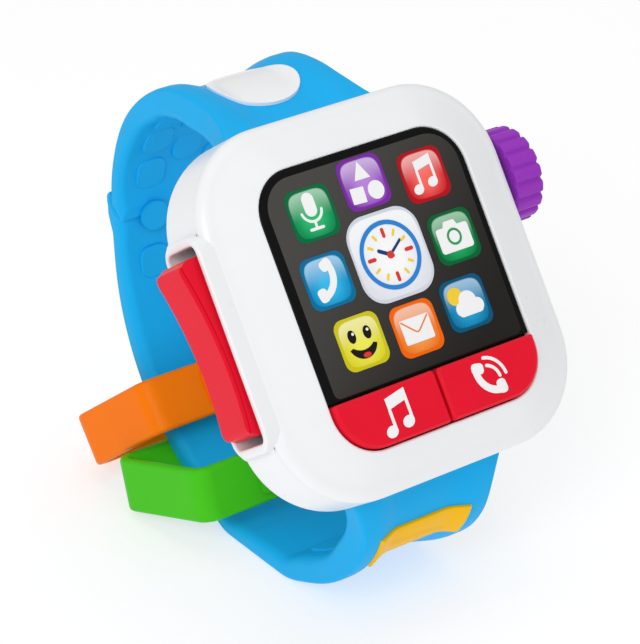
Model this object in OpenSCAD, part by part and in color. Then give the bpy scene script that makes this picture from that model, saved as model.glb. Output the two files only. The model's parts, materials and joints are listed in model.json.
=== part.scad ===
// Toy wrist watch: a chunky case with lit icons, two push buttons, a side rocker and a
// turning crown, on a moulded strap that carries two loose rings.
// Case pieces are drawn face down: X across the wrist, Y up the dial, Z into the case from
// its front face. worn() then stands the watch on the flat of its strap, dial leaning back.

/* [Case] */
// Width of the case across the wrist
case_w = 78.4; // [76:0.2:84]
// Height of the case along the wrist
case_h = 82.5; // [81:0.5:88]
// Depth of the case without the buttons
case_d = 23; // [22.6:0.2:26]
// Corner radius of the case seen from the front
case_r = 20.5; // [18:0.5:22]
// Rounding of the shoulder between the front border and the side of the case
front_round = 3; // [2.4:0.2:3]
// How far the front border slopes back between the window and that shoulder
border_drop = 3.4; // [2.8:0.2:3.4]
// How far in from the side of the case that slope begins
border_reach = 10.6; // [9.8:0.2:11]
// Rounding of the back edge of the case
back_round = 5; // [4:0.5:6]
// Wall of both housings
wall = 2.2; // [1.8:0.1:2.4]
// Depth at which the two housings meet
seam_d = 6.4; // [5.6:0.2:7.2]
// Play between pieces that are dropped into each other
fit_gap = 0.3; // [0.2:0.05:0.4]
// Play between a shaft and its hole
run_gap = 0.05; // [0.03:0.01:0.08]

/* [Window] */
// White border on each side of the opening for the display and the buttons
window_side = 12.1; // [11.8:0.05:13]
// White border above and below that opening
window_end = 10.15; // [9.25:0.05:11.25]
// Corner radius of that opening
window_r = 10; // [9:0.5:12]
// How far the opening sits below the middle of the case
window_drop = 0.45; // [0:0.05:1]
// Thickness of the display window
window_t = 1.9; // [1.5:0.1:1.9]
// Thickness of the printed icon card
card_t = 0.6; // [0.4:0.1:0.8]
// Thickness of the light diffuser
diffuser_t = 1.2; // [0.8:0.1:1.4]
// Thickness of the grid that keeps the lights apart
grid_t = 2.6; // [2:0.1:3]
// From the side of the display to the middle of its outer icons
icon_side = 12.6; // [12.2:0.05:13.4]
// From the top of the display to the middle of its top icons
icon_end = 10.45; // [10:0.05:11.5]
// How far the middle icon sits above the middle of the case
icon_rise = 6; // [5:0.2:7]

/* [Buttons] */
// Height of the two buttons on the dial
button_h = 12.3; // [11:0.1:14]
// How far the buttons stand out of the front face
button_proud = 1.5; // [1:0.1:2]
// Travel of a button
button_travel = 1; // [0.6:0.1:1]
// Gap between the two buttons
button_split = 0.6; // [0.5:0.1:1]

/* [Rocker] */
// Length of the rocker along the side of the case
rocker_l = 39.2; // [36:0.2:40]
// Width of the rocker
rocker_w = 10.5; // [9.5:0.1:11]
// How far the middle of the rocker stands out of the case wall
rocker_proud = 4.3; // [3.8:0.1:5]
// How much more its two ends stand out
rocker_dish = 1.9; // [1.4:0.1:2.4]
// Angle of the rocker at rest, with its top end out
rocker_tilt = 3.6; // [2:0.2:4]
// Depth of the middle of the rocker below the front face
rocker_depth = 11.6; // [11:0.1:12.4]
// Rim at each end of the rocker's slot
frame_rim = 2.5; // [2:0.1:3]
// Rim at each side of the rocker's slot
frame_cheek = 3.65; // [3.2:0.05:3.9]
// How far the frame stands out of the case wall
frame_proud = 2.2; // [1.6:0.1:3]

/* [Crown] */
// Radius of the crown over its lobes
crown_r = 10.9; // [9:0.1:12]
// Thickness of the crown
crown_t = 7.4; // [6:0.1:9]
// Gap between the crown and the case wall
crown_gap = 1.8; // [1.2:0.1:2.4]
// Number of lobes round the crown
crown_lobes = 18; // [12:1:24]
// Depth of the crown's axis below the front face
crown_depth = 15; // [14.6:0.1:15.4]
// How far the crown's axis sits above the middle of the case
crown_rise = 15.6; // [13:0.2:18]
// Radius of the crown's shaft
crown_shaft_r = 2.5; // [2:0.1:3]

/* [Strap] */
// Width of the strap
strap_w = 35; // [33:0.5:38]
// Width of the strap where it meets the case
strap_root_w = 41.6; // [40:0.2:44]
// Thickness of the strap at the top of its loop
strap_t = 6.2; // [5:0.1:7]
// How far the strap's loop rises past each end of the case
loop_over = 16.65; // [15.5:0.05:18]
// How far the loop reaches behind the back of the case
loop_behind = 69.4; // [66:0.2:74]
// How far the middle of the loop sits above the middle of the case
loop_mid = 1.55; // [0.5:0.05:2.5]
// Depth of the dish along the outside of the strap
dish_d = 2.2; // [1.6:0.1:2.6]
// Step of the strap's end where the two halves lap
lap_step = 1.6; // [1:0.1:2]

/* [Rings] */
// Height of a ring along the strap
ring_h = 12.8; // [11:0.1:14]
// Depth of a ring's loop, outside
ring_d = 32; // [31:0.5:36]
// Width of a ring at its front side
ring_w = 56; // [52:0.5:62]
// How much wider a ring is at its back side
ring_flare = 3; // [0:0.5:6]
// Wall of a ring
ring_wall = 2.6; // [2.2:0.1:2.8]
// Corner radius of a ring
ring_r = 4.5; // [3.5:0.1:6]

/* [Batteries] */
// Diameter of a cell
cell_dia = 10.5; // [10.4:0.1:10.6]
// Length of a cell's body
cell_l = 43.5; // [43:0.1:44]

/* [Hidden] */
$fn = 48;

// Overrun of every cut
over = 1;

// Opening, split between the display and the buttons
window_w = case_w - 2 * window_side;
window_h = case_h - 2 * window_end;
window_top = window_h / 2 - window_drop;
window_bottom = window_top - window_h;
split_up = window_bottom + button_h;
ledge_in = 1.5;
ledge_out = 1.6;
ledge_t = 1.2;
display_front = wall - window_t;
card_front = wall;
diffuser_front = card_front + card_t;
grid_front = diffuser_front + diffuser_t;
board_front = grid_front + grid_t;
board_t = 1.4;
board_back = board_front + board_t;
light_cell = 12.1;
led_side = 3;
led_t = 1.1;

// Pitch of the icons across and up the display
icon_column = window_w / 2 - icon_side;
icon_row = (window_h - button_h) / 2 - icon_end;

// Board outline, its posts and its screws
board_tall_side = 17.2;
board_tall_end = 4.25;
board_wide_side = 6.2;
board_wide_end = 15.25;
board_tall_w = case_w - 2 * board_tall_side;
board_tall_h = case_h - 2 * board_tall_end;
board_wide_w = case_w - 2 * board_wide_side;
board_wide_h = case_h - 2 * board_wide_end;
post_r = 1.9;
post_side = 6;
post_top_in = 2.7;
post_bottom_in = 2;
post_x = board_tall_w / 2 - post_side;
post_top = board_tall_h / 2 - post_top_in;
post_bottom = post_bottom_in - board_tall_h / 2;
board_screw_r = 1;
board_hole_r = 1.15;
board_head_r = 1.9;
board_head_t = 1.2;

// Housing screws and their bosses
boss_side = 11;
boss_end = 9.75;
boss_x = case_w / 2 - boss_side;
boss_y = case_h / 2 - boss_end;
boss_r = 3.4;
boss_meet = 12;
hole_floor = wall + border_drop / 3;
screw_r = 1.4;
screw_hole_r = 1.6;
screw_head_r = 2.6;
screw_head_t = 1.8;
screw_seat = 17.6;
screw_l = 11.5;
head_well_r = 2.9;
seam_lip_t = 1;
seam_lip_l = 2;
seam_lip_gap = 0.15;

// Buttons
button_inset = 0.35;
button_bevel = 0.9;
button_flange = 1.2;
button_flange_t = 0.8;
button_skin = 1.6;
plunger_r = 3;
plunger_side = 13.35;
plunger_x = window_w / 2 - plunger_side;
keypad_t = 0.8;
dome_r = 4.5;
dome_t = 0.45;
press_gap = 0.05;

// Rocker, its pin, frame and switch
rocker_r = 3;
rocker_body = 5;
pin_r = 1.5;
pin_set = 1.5;
rocker_boss_r = 2.7;
slot_end_gap = 2.1;
slot_side_gap = 0.8;
slot_l = rocker_l + 2 * slot_end_gap;
slot_w = rocker_w + 2 * slot_side_gap;
frame_l = slot_l + 2 * frame_rim;
frame_w = slot_w + 2 * frame_cheek;
frame_r = 5;
frame_in = 5.4;
frame_flange = 1.4;
frame_flange_t = 1.2;
switch_w = 5.5;
switch_in = 6.4;
switch_t = 2.8;
switch_pad_r = 1.3;
switch_pad_t = 1;
nub_end = 12.6;
switch_end = 2;
nub_at = rocker_l / 2 - nub_end;
switch_l = 2 * (nub_at + switch_end);
nub_r = 1.2;

// Crown
groove_r = 0.75;
crown_bevel = 1.3;
crown_recess = 0.8;
crown_recess_r = 7.2;
crown_hub_r = 5.5;
crown_socket = 5;
crown_boss_r = 5;
crown_boss_l = 4;
clip_r = 4;
clip_t = 0.8;
clip_groove = 0.5;
wheel_r = 5;
wheel_t = 3;
wheel_teeth = 12;
tooth_r = 0.7;
spring_leaf_t = 0.4;
spring_foot_l = 3;
spring_l = 14;

// Speaker
speaker_end = 27.25;
speaker_rise = case_h / 2 - speaker_end;
speaker_r = 14;
speaker_frame_t = 2;
magnet_r = 7;
magnet_t = 3;
speaker_wall_t = 1.2;
speaker_wall_l = 3.4;
clamp_t = 1.2;
clamp_in = 10;
grille_pitch = 4;
grille_r = 0.9;

// Power switch
slider_apart = 7;
slider_end = 21.25;
slider_x = -speaker_r - slider_apart;
slider_up = case_h / 2 - slider_end;
slider_travel = 6;
slider_knob_l = 5.6;
slider_knob_w = 3.4;
slider_plate_w = 6.4;
slider_plate_l = 12;
slider_plate_t = 1.2;
slider_proud = 0.6;
slider_rail_t = 1.1;

// Battery bay, its cells and its cover
bay_end = 26.25;
bay_drop = case_h / 2 - bay_end;
cell_room = 6.9;
bay_l = cell_l + cell_room;
bay_room = 0.9;
bay_h = 2 * cell_dia + bay_room;
bay_wall = 1.2;
cell_back_gap = 0.4;
cell_apart = 0.2;
cover_t = 1.8;
cover_end = 4.8;
cover_edge = 1.85;
cover_l = bay_l + 2 * cover_end;
cover_shift = 2.5;
cover_h = bay_h + 2 * cover_edge;
cover_r = 3;
cover_ledge = 1.4;
cover_catch_l = 5;
cover_catch_t = 0.8;
cover_catch_out = 1.6;
cover_screw_out = 4;
cover_screw_x = bay_l / 2 + cover_screw_out;
cover_screw_l = 8;
nub_out_r = 1.9;
nub_out = 1;
contact_t = 0.5;
contact_w = 8;
contact_spring_r = 3.2;

// Strap: stations along the outer edge of the loop, from the top of the case round to its
// bottom. Each row has shares of reach, half height, thickness and dish.
station_shares = [
    [0.143, 0.670, 1.22, 0.5], [0.206, 0.800, 1.42, 0.9], [0.290, 0.911, 1.38, 1], [0.382, 0.983, 1.22, 1],
    [0.474, 1.000, 1.00, 0.9], [0.620, 0.962, 0.82, 0.5], [0.758, 0.821, 0.66, 0], [0.875, 0.580, 0.70, 0],
    [0.967, 0.297, 0.85, 0], [1.000, 0.010, 0.88, 0], [0.969, -0.321, 0.85, 0], [0.907, -0.539, 0.74, 0],
    [0.840, -0.718, 0.68, 0], [0.663, -0.918, 0.78, 0], [0.551, -0.978, 1.00, 0.5],
    [0.446, -0.999, 1.05, 0.9], [0.330, -0.975, 1.28, 1], [0.244, -0.903, 1.30, 1], [0.181, -0.778, 1.15, 0.9],
    [0.165, -0.725, 1.05, 0.5]];
last = len(station_shares) - 1;
rest_steps = 12;
loop_h = case_h + 2 * loop_over;
loop_reach = case_d + loop_behind;
strap_sink = 0.75;
strap_steps = 6;
lap_from_share = 0.3395;
lap_to_share = 0.371;
lap_lead_share = 0.17;
lap_joint_share = 0.035;
lap_from = lap_from_share * last;
lap_to = lap_to_share * last;
lap_lead = lap_lead_share * (lap_to - lap_from);
lap_joint = lap_joint_share * (lap_to - lap_from);
lap_slit = 0.15;
rail_share = 0.78;
mid_rail_share = 0.52;
flare_l = 12;
flare_steps = 6;
flare_share = 0.1;
tongue_side = 4.8;
tongue_w = strap_root_w - 2 * tongue_side;
tongue_t = 3.6;
tongue_l = 4.6;
tongue_depth = 18.3;
eye_r = 2;
strap_pin_r = 1.2;
strap_pin_in = 4;
strap_pin_side = 1.3;
strap_pin_l = strap_root_w - 2 * strap_pin_side;
pin_rib_t = 2.4;
pin_rib_r = 2.3;
stud_r = 2;
stud_head_r = 3.6;
stud_head_t = 0.9;
stud_side = 8.5;
stud_x = strap_w / 2 - stud_side;
stud_seat = 0.2;
pad_r = 4.3;
pad_t = 0.6;
pad_side_share = 0.25;
pad_shift_share = 0.25;
upper_pad_steps = [3, 4, 5];
lower_pad_steps = [14, 15, 16];
badge_l = 21.5;
badge_side = 7.25;
badge_w = strap_w - 2 * badge_side;
filling_t = 0.7;
badge_at_share = 0.1068;
badge_span_share = 0.0737;
badge_at = badge_at_share * last;
badge_span = badge_span_share * last;
badge_steps = 28;
inlay_from_share = 0.8355;
inlay_to_share = 0.8947;
inlay_from = inlay_from_share * last;
inlay_to = inlay_to_share * last;
seat_gap = 0.05;

// Rings: where they ride on the strap, how they are canted, and the play between them
green_at_share = 0.51895;
green_at = green_at_share * last;
green_tilt = -17.5;
orange_tilt = 4;
orange_lead_share = 0.49;
orange_slip = 2.2;
ring_play = 0.35;
ring_steps = 6;

// Profile of the border, from the corner's axis outwards and from front to back
module edge_profile(r, d, front, back, drop, reach) {
    shoulder = drop + front;
    polygon([[0, 0], [r - reach, 0], [r - front, drop], [r - front, shoulder], [0, shoulder]]);
    translate([0, shoulder]) square([r, d - shoulder - back]);
    translate([0, d - back]) square([r - back, back]);
    translate([r - front, shoulder]) circle(front);
    translate([r - back, d - back]) circle(back);
}

// Solid with a rounded rectangle as its plan, a sloped front border and both its edges rounded
module rounded_body(w, h, r, d, front, back, drop, reach) {
    for (a = [0, 1, 2, 3]) {
        side_x = (a == 0 || a == 3) ? 1 : -1;
        side_y = (a < 2) ? 1 : -1;
        translate([side_x * (w / 2 - r), side_y * (h / 2 - r), 0])
            rotate([0, 0, a * 90]) rotate_extrude(angle = 90)
                edge_profile(r, d, front, back, drop, reach);
    }
    for (s = [0, 180]) rotate([0, 0, s]) {
        translate([w / 2 - r, h / 2 - r, 0])
            rotate([90, 0, 0]) linear_extrude(h - 2 * r) edge_profile(r, d, front, back, drop, reach);
        translate([r - w / 2, h / 2 - r, 0])
            rotate([90, 0, 90]) linear_extrude(w - 2 * r) edge_profile(r, d, front, back, drop, reach);
    }
    translate([r - w / 2, r - h / 2, 0]) cube([w - 2 * r, h - 2 * r, d]);
}

// Outer form of the case, grown or shrunk on every side; inside the wall the slope begins further out
module case_body(grow) {
    translate([0, 0, -grow])
        rounded_body(case_w + 2 * grow, case_h + 2 * grow, case_r + grow, case_d + 2 * grow,
            front_round + grow, back_round + grow, border_drop, border_reach + 2 * grow);
}

module round_rect(w, h, r) {
    square([w - 2 * r, h], center = true);
    square([w, h - 2 * r], center = true);
    for (x = [-1, 1], y = [-1, 1]) translate([x * (w / 2 - r), y * (h / 2 - r)]) circle(r);
}

// Outline of the opening, grown or shrunk on every side
module window_outline(grow) {
    translate([0, -window_drop]) round_rect(window_w + 2 * grow, window_h + 2 * grow, window_r + grow);
}

// The part of that outline that holds the display
module display_outline(grow, foot) {
    intersection() {
        window_outline(grow);
        translate([-window_w, split_up + foot]) square([2 * window_w, window_h]);
    }
}

// The part that holds the button on one side, 1 for right and -1 for left
module button_outline(side, grow, inner) {
    intersection() {
        window_outline(grow);
        translate([side > 0 ? button_split / 2 + inner : -window_w, split_up - window_h - fit_gap - inner])
            square([window_w - button_split / 2 - inner, window_h]);
    }
}

// Slab of a flat outline between two depths
module slab(from, to) {
    translate([0, 0, from]) linear_extrude(to - from) children();
}

// Tube or peg along the depth
module peg(x, y, r, from, to) {
    translate([x, y, from]) cylinder(r = r, h = to - from);
}

// Cylinder along the width, between two places
module axle(r, from, to) {
    translate([from, 0, 0]) rotate([0, 90, 0]) cylinder(r = r, h = to - from);
}

// Flat drawing of depth against height, extruded across the strap
module across(from, to) {
    translate([to, 0, 0]) rotate([0, -90, 0]) linear_extrude(to - from) children();
}

// Outline of the strap
function station_up(i) = i == 0 ? case_h / 2 - strap_sink
    : i == last ? strap_sink - case_h / 2 : loop_mid + station_shares[i][1] * loop_h / 2;
stations = [for (i = [0:last]) [station_shares[i][0] * loop_reach, station_up(i)]];
function unit(v) = v / norm(v);
function chord(i) = stations[i + 1] - stations[i];
function blended(i) = unit(chord(i - 1) / norm(chord(i - 1)) * norm(chord(i))
    + chord(i) / norm(chord(i)) * norm(chord(i - 1)));
headings = [for (i = [0:last]) i == 0 ? unit(chord(0)) : i == last ? unit(chord(last - 1))
    : (i == rest_steps || i == rest_steps + 1) ? unit(chord(rest_steps)) : blended(i)];
function leg(t) = min(floor(t), last - 1);
function outer_at(t) = let (i = leg(t), s = t - i, l = norm(chord(i)))
    (2 * pow(s, 3) - 3 * pow(s, 2) + 1) * stations[i] + (pow(s, 3) - 2 * pow(s, 2) + s) * l * headings[i]
    + (3 * pow(s, 2) - 2 * pow(s, 3)) * stations[i + 1] + (pow(s, 3) - pow(s, 2)) * l * headings[i + 1];
function heading_at(t) = let (i = leg(t), s = t - i, l = norm(chord(i)))
    unit((6 * pow(s, 2) - 6 * s) * (stations[i] - stations[i + 1])
    + (3 * pow(s, 2) - 4 * s + 1) * l * headings[i] + (3 * pow(s, 2) - 2 * s) * l * headings[i + 1]);
function inward_at(t) = let (h = heading_at(t)) [h[1], -h[0]];
function share_at(t, column) = let (i = leg(t), s = t - i, e = 3 * pow(s, 2) - 2 * pow(s, 3))
    station_shares[i][column] * (1 - e) + station_shares[i + 1][column] * e;
// A face of the strap is set by shares of its thickness and dish, and a length inwards
function face_at(t, face) = outer_at(t)
    + inward_at(t) * (face[0] * strap_t * share_at(t, 2) + face[1] * dish_d * share_at(t, 3) + face[2]);
function band(from, to, near, far) = let (n = ceil((to - from) * strap_steps), step = (to - from) / n)
    concat([for (k = [0:n]) face_at(from + k * step, near)],
        [for (k = [n:-1:0]) face_at(from + k * step, far)]);

// Pose of the whole watch: the strap's flat lies level at the origin
rest_near = stations[rest_steps + 1];
rest_far = stations[rest_steps];
rest_mid = (rest_near + rest_far) / 2;
lean = atan2(rest_far[1] - rest_near[1], rest_far[0] - rest_near[0]);
module worn() {
    translate([0, -cos(lean) * rest_mid[0] - sin(lean) * rest_mid[1],
        sin(lean) * rest_mid[0] - cos(lean) * rest_mid[1]])
        rotate([-lean, 0, 0]) rotate([90, 0, 0]) mirror([0, 0, 1]) children();
}

// Case shells
module front_housing() {
    color("white") worn() difference() {
        union() {
            difference() {
                case_body(0);
                case_body(-wall);
                translate([-case_w, -case_h, seam_d]) cube([2 * case_w, 2 * case_h, case_d]);
                slab(-over, wall + over) window_outline(0);
                frame_block(fit_gap / 2);
            }
            slab(wall, wall + ledge_t) difference() {
                display_outline(ledge_out, 0);
                display_outline(-ledge_in, ledge_in);
            }
            slab(wall / 2, wall + ledge_t) difference() {
                display_outline(ledge_out, 0);
                window_outline(0);
            }
            seam_lip();
            intersection() {
                case_body(-wall / 2);
                union() {
                    for (x = [-1, 1], y = [-1, 1]) peg(x * boss_x, y * boss_y, boss_r, 0, boss_meet);
                    for (x = [-1, 1], y = [post_bottom, post_top]) peg(x * post_x, y, post_r, 0, board_front);
                }
            }
        }
        for (x = [-1, 1], y = [-1, 1])
            peg(x * boss_x, y * boss_y, screw_r + run_gap, hole_floor, boss_meet + over);
        for (x = [-1, 1], y = [post_bottom, post_top])
            peg(x * post_x, y, board_screw_r + run_gap, hole_floor, board_front + over);
    }
}

// Lip that nests inside the back housing
module seam_lip() {
    inset = wall + seam_lip_gap;
    lip_w = case_w - 2 * inset;
    lip_h = case_h - 2 * inset;
    lip_r = case_r - inset;
    difference() {
        slab(seam_d - seam_lip_l / 2, seam_d + seam_lip_l) difference() {
            round_rect(lip_w, lip_h, lip_r);
            round_rect(lip_w - 2 * seam_lip_t, lip_h - 2 * seam_lip_t, lip_r - seam_lip_t);
        }
        frame_block(fit_gap);
    }
    difference() {
        slab(seam_d - seam_lip_l, seam_d) difference() {
            round_rect(lip_w + 2 * seam_lip_gap + wall, lip_h + 2 * seam_lip_gap + wall,
                lip_r + seam_lip_gap + wall / 2);
            round_rect(lip_w - 2 * seam_lip_t, lip_h - 2 * seam_lip_t, lip_r - seam_lip_t);
        }
        frame_block(fit_gap);
    }
}

inner_back = case_d - wall;
module back_housing() {
    color("white") worn() difference() {
        union() {
            difference() {
                case_body(0);
                case_body(-wall);
                translate([-case_w, -case_h, -over]) cube([2 * case_w, 2 * case_h, seam_d + over]);
                frame_block(fit_gap / 2);
            }
            battery_bay();
            slab(inner_back - speaker_wall_l, inner_back + wall / 2) translate([0, speaker_rise])
                difference() {
                    circle(speaker_r + fit_gap / 2 + speaker_wall_t);
                    circle(speaker_r + fit_gap / 2);
                }
            for (x = [-1, 1], y = [-1, 1]) peg(x * boss_x, y * boss_y, boss_r, boss_meet,
                inner_back + wall / 2);
            peg(cover_screw_x, -bay_drop, boss_r, inner_back - cover_screw_l - over, inner_back + wall / 2);
            translate([0, crown_rise, crown_depth])
                axle(crown_boss_r, case_w / 2 - wall - crown_boss_l, case_w / 2 - wall / 2);
            for (x = [-1, 1])
                translate([slider_x + x * (slider_plate_w / 2 + fit_gap + slider_rail_t / 2), slider_up]) slab(power_switch_front, inner_back + wall / 2)
                    square([slider_rail_t, slider_plate_l + slider_travel], center = true);
            for (x = [-1, 1], y = [-1, 1]) pin_rib(x, y);
        }
        slab(cell_front, case_d + over) translate([0, -bay_drop]) square([bay_l, bay_h], center = true);
        slab(case_d - cover_t, case_d + over) translate([cover_shift, -bay_drop])
            round_rect(cover_l, cover_h, cover_r);
        for (y = [-1, 1]) translate([cover_shift - cover_l / 2 - cover_catch_out - fit_gap,
            y * cover_h / 4 - bay_drop - cover_catch_l / 2 - fit_gap, case_d - cover_t])
            cube([cover_catch_out + over, cover_catch_l + 2 * fit_gap, cover_catch_t + fit_gap]);
        peg(cover_screw_x, -bay_drop, screw_r + run_gap, inner_back - cover_screw_l, case_d);
        for (x = [-1, 1], y = [-1, 1]) {
            peg(x * boss_x, y * boss_y, screw_hole_r, boss_meet - over, case_d);
            peg(x * boss_x, y * boss_y, head_well_r, screw_seat, case_d + over);
        }
        translate([0, crown_rise, crown_depth]) axle(crown_shaft_r + run_gap, clip_x, case_w / 2 + over);
        for (y = [-1, 1]) translate([0, y * case_h / 2, tongue_depth])
            cube([tongue_w + 2 * fit_gap, 3 * wall, tongue_t + 2 * fit_gap], center = true);
        for (y = [-1, 1]) translate([0, y * (case_h / 2 - strap_pin_in), tongue_depth])
            axle(strap_pin_r + run_gap, -strap_pin_l / 2 - fit_gap, strap_pin_l / 2 + fit_gap);
        slab(inner_back - over, case_d + over) translate([slider_x, slider_up])
            square([slider_knob_w + 2 * fit_gap, slider_knob_l + slider_travel + 2 * fit_gap], center = true);
        slab(inner_back - over, case_d + over) translate([0, speaker_rise]) grille();
    }
}

// Rows of holes in front of the speaker
module grille() {
    circle(grille_r);
    for (row = [1, 2], k = [0:6 * row - 1])
        rotate(k * 60 / row) translate([row * grille_pitch, 0]) circle(grille_r);
}

cell_r = cell_dia / 2;
cell_depth = case_d - cover_t - cell_back_gap - cell_r;
cell_front = cell_depth - cell_r - fit_gap;
module battery_bay() {
    slab(cell_front - bay_wall, inner_back + wall / 2) translate([0, -bay_drop])
        square([bay_l + 2 * bay_wall, bay_h + 2 * bay_wall], center = true);
    slab(inner_back - cover_ledge, inner_back + wall / 2) translate([cover_shift, -bay_drop])
        round_rect(cover_l + 2 * fit_gap, cover_h + 2 * fit_gap, cover_r + fit_gap);
}

// Rib beside a strap tongue, with the hole for its pin
module pin_rib(x, y) {
    rib_in = tongue_w / 2 + fit_gap;
    translate([x > 0 ? rib_in : -rib_in - pin_rib_t, y > 0 ? case_h / 2 - strap_pin_in - pin_rib_r
        : strap_pin_in - case_h / 2 - pin_rib_r, tongue_depth - pin_rib_r])
        cube([pin_rib_t, 2 * pin_rib_r, inner_back - tongue_depth + pin_rib_r + wall / 2]);
}

// Rocker frame: the raised block set into the side of the case
frame_x = case_w / 2 + frame_proud;
module frame_block(grow) {
    translate([-frame_x - grow, 0, rocker_depth]) rotate([0, 90, 0])
        linear_extrude(frame_proud + frame_in + grow)
            round_rect(frame_w + 2 * grow, frame_l + 2 * grow, frame_r + grow);
}
pivot_x = -case_w / 2 + pin_set;
module rocker_frame() {
    flange_x = -case_w / 2 + frame_in - frame_flange_t;
    color("white") worn() difference() {
        union() {
            frame_block(0);
            translate([flange_x, 0, rocker_depth]) rotate([0, 90, 0]) linear_extrude(frame_flange_t)
                square([frame_w - 2 * frame_r, frame_l + 2 * frame_flange], center = true);
        }
        translate([-frame_x - over, 0, rocker_depth]) rotate([0, 90, 0])
            linear_extrude(frame_proud + frame_in + 2 * over) round_rect(slot_w, slot_l, rocker_r / 2);
        translate([pivot_x, 0, rocker_depth - frame_w / 2 + pin_set])
            cylinder(r = pin_r + run_gap, h = frame_w - 2 * pin_set);
    }
}

// Outline of the rocker in its level position, with a hollow outer side
rocker_out = case_w / 2 + rocker_proud;
function hollow_r(half, sag) = (half * half + sag * sag) / (2 * sag);
module rocker_outline() {
    half = rocker_l / 2;
    hollow = hollow_r(half, rocker_dish);
    difference() {
        union() {
            translate([-rocker_out - rocker_dish, -half + rocker_r])
                square([rocker_body + rocker_dish - over, 2 * (half - rocker_r)]);
            translate([-rocker_out - rocker_dish + rocker_r, -half])
                square([rocker_body + rocker_dish - over - rocker_r, 2 * half]);
            for (y = [-1, 1])
                translate([-rocker_out - rocker_dish + rocker_r, y * (half - rocker_r)]) circle(rocker_r);
        }
        translate([-rocker_out - hollow, 0]) circle(hollow, $fn = 180);
    }
}

module rocker() {
    color("crimson") worn() translate([pivot_x, 0, 0]) rotate([0, 0, rocker_tilt]) translate([-pivot_x, 0, 0])
        difference() {
            union() {
                slab(rocker_depth - rocker_w / 2, rocker_depth + rocker_w / 2) rocker_outline();
                slab(rocker_depth - rocker_w / 2, rocker_depth + rocker_w / 2) {
                    translate([pivot_x, 0]) circle(rocker_boss_r);
                    translate([pivot_x - rocker_boss_r, -rocker_boss_r])
                        square([rocker_boss_r, 2 * rocker_boss_r]);
                }
                for (y = [-1, 1]) translate([0, y * nub_at, rocker_depth])
                    axle(nub_r, -rocker_out, nub_x);
            }
            translate([pivot_x, 0, rocker_depth - rocker_w])
                cylinder(r = pin_r + run_gap, h = 2 * rocker_w);
        }
}

module rocker_pin() {
    color("silver") worn() translate([pivot_x, 0, rocker_depth - frame_w / 2 + pin_set + run_gap])
        cylinder(r = pin_r, h = frame_w - 2 * pin_set - 2 * run_gap);
}

// Switch under the rocker, on the edge of the board, one pad under each end
switch_face = -case_w / 2 + switch_in;
nub_x = switch_face - switch_pad_t - nub_at * sin(rocker_tilt) - fit_gap;
module rocker_switch() {
    color("dimgray") worn() {
        translate([switch_face, -switch_l / 2, board_back])
            cube([switch_t, switch_l, rocker_depth + switch_w / 2 - board_back]);
        for (y = [-1, 1]) translate([0, y * nub_at, rocker_depth])
            axle(switch_pad_r, switch_face - switch_pad_t, switch_face);
    }
}

// Display stack
module display_window() {
    color([0.1, 0.1, 0.11]) worn() slab(display_front, wall) display_outline(-fit_gap, fit_gap);
}
stack_in = ledge_in + fit_gap;
module icon_card() {
    color([0.16, 0.16, 0.17]) worn() slab(card_front, diffuser_front) display_outline(-stack_in, stack_in);
}
module light_diffuser() {
    color([0.93, 0.94, 0.96]) worn() slab(diffuser_front, grid_front) display_outline(-stack_in, stack_in);
}
module light_grid() {
    color("white") worn() slab(grid_front, board_front) difference() {
        display_outline(-stack_in, stack_in);
        for (x = [-1, 0, 1], y = [-1, 0, 1]) translate([x * icon_column, icon_rise + y * icon_row])
            square(light_cell, center = true);
    }
}

// Buttons, one on each side of the middle
module push_button(side) {
    back = wall + fit_gap;
    difference() {
        union() {
            slab(-button_proud, button_bevel - button_proud)
                button_outline(side, -button_inset - button_bevel, button_bevel);
            slab(button_bevel - button_proud, back) button_outline(side, -button_inset, 0);
            slab(back, back + button_flange_t) button_outline(side, button_flange, 0);
        }
        slab(button_skin - button_proud, back + button_flange_t + over)
            button_outline(side, -button_inset - button_bevel - button_skin, button_bevel + button_skin);
    }
    peg(side * plunger_x, split_up - button_h / 2, plunger_r, button_skin - button_proud - button_bevel / 2,
        dome_top - press_gap - button_travel);
}
module music_button() {
    color("crimson") worn() push_button(-1);
}
module phone_button() {
    color("crimson") worn() push_button(1);
}

// Rubber sheet with a dome under each button
dome_top = board_front - keypad_t - dome_t;
module button_keypad() {
    color("gainsboro") worn() {
        slab(board_front - keypad_t, board_front) difference() {
            intersection() {
                window_outline(-fit_gap);
                translate([-window_w, split_up - window_h - ledge_in]) square([2 * window_w, window_h]);
            }
        }
        for (x = [-1, 1])
            peg(x * plunger_x, split_up - button_h / 2, dome_r, dome_top, board_front - keypad_t / 2);
    }
}

// Board and what it carries
module circuit_board() {
    color("seagreen") worn() slab(board_front, board_back) difference() {
        union() {
            square([board_tall_w, board_tall_h], center = true);
            square([board_wide_w, board_wide_h], center = true);
        }
        for (x = [-1, 1], y = [post_bottom, post_top]) translate([x * post_x, y]) circle(board_hole_r);
    }
}
chip_side = 9;
chip_t = 1.5;
chip_x = -9;
chip_up = 25;
cap_r = 2.5;
cap_t = 5;
cap_x = 12;
cap_step = 6.5;
cap_up = 26;
module board_parts() {
    color("black") worn() {
        slab(board_back, board_back + chip_t) translate([chip_x, chip_up]) square(chip_side, center = true);
        for (k = [0, 1]) peg(cap_x + k * cap_step, cap_up, cap_r, board_back, board_back + cap_t);
    }
}
module leds() {
    color("lightyellow") worn() for (x = [-1, 0, 1], y = [-1, 0, 1])
        slab(board_front - led_t, board_front) translate([x * icon_column, icon_rise + y * icon_row])
            square(led_side, center = true);
}
module board_screws() {
    color("silver") worn() for (x = [-1, 1], y = [post_bottom, post_top]) {
        peg(x * post_x, y, board_screw_r, wall + over + fit_gap, board_back);
        peg(x * post_x, y, board_head_r, board_back, board_back + board_head_t);
    }
}

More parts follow.
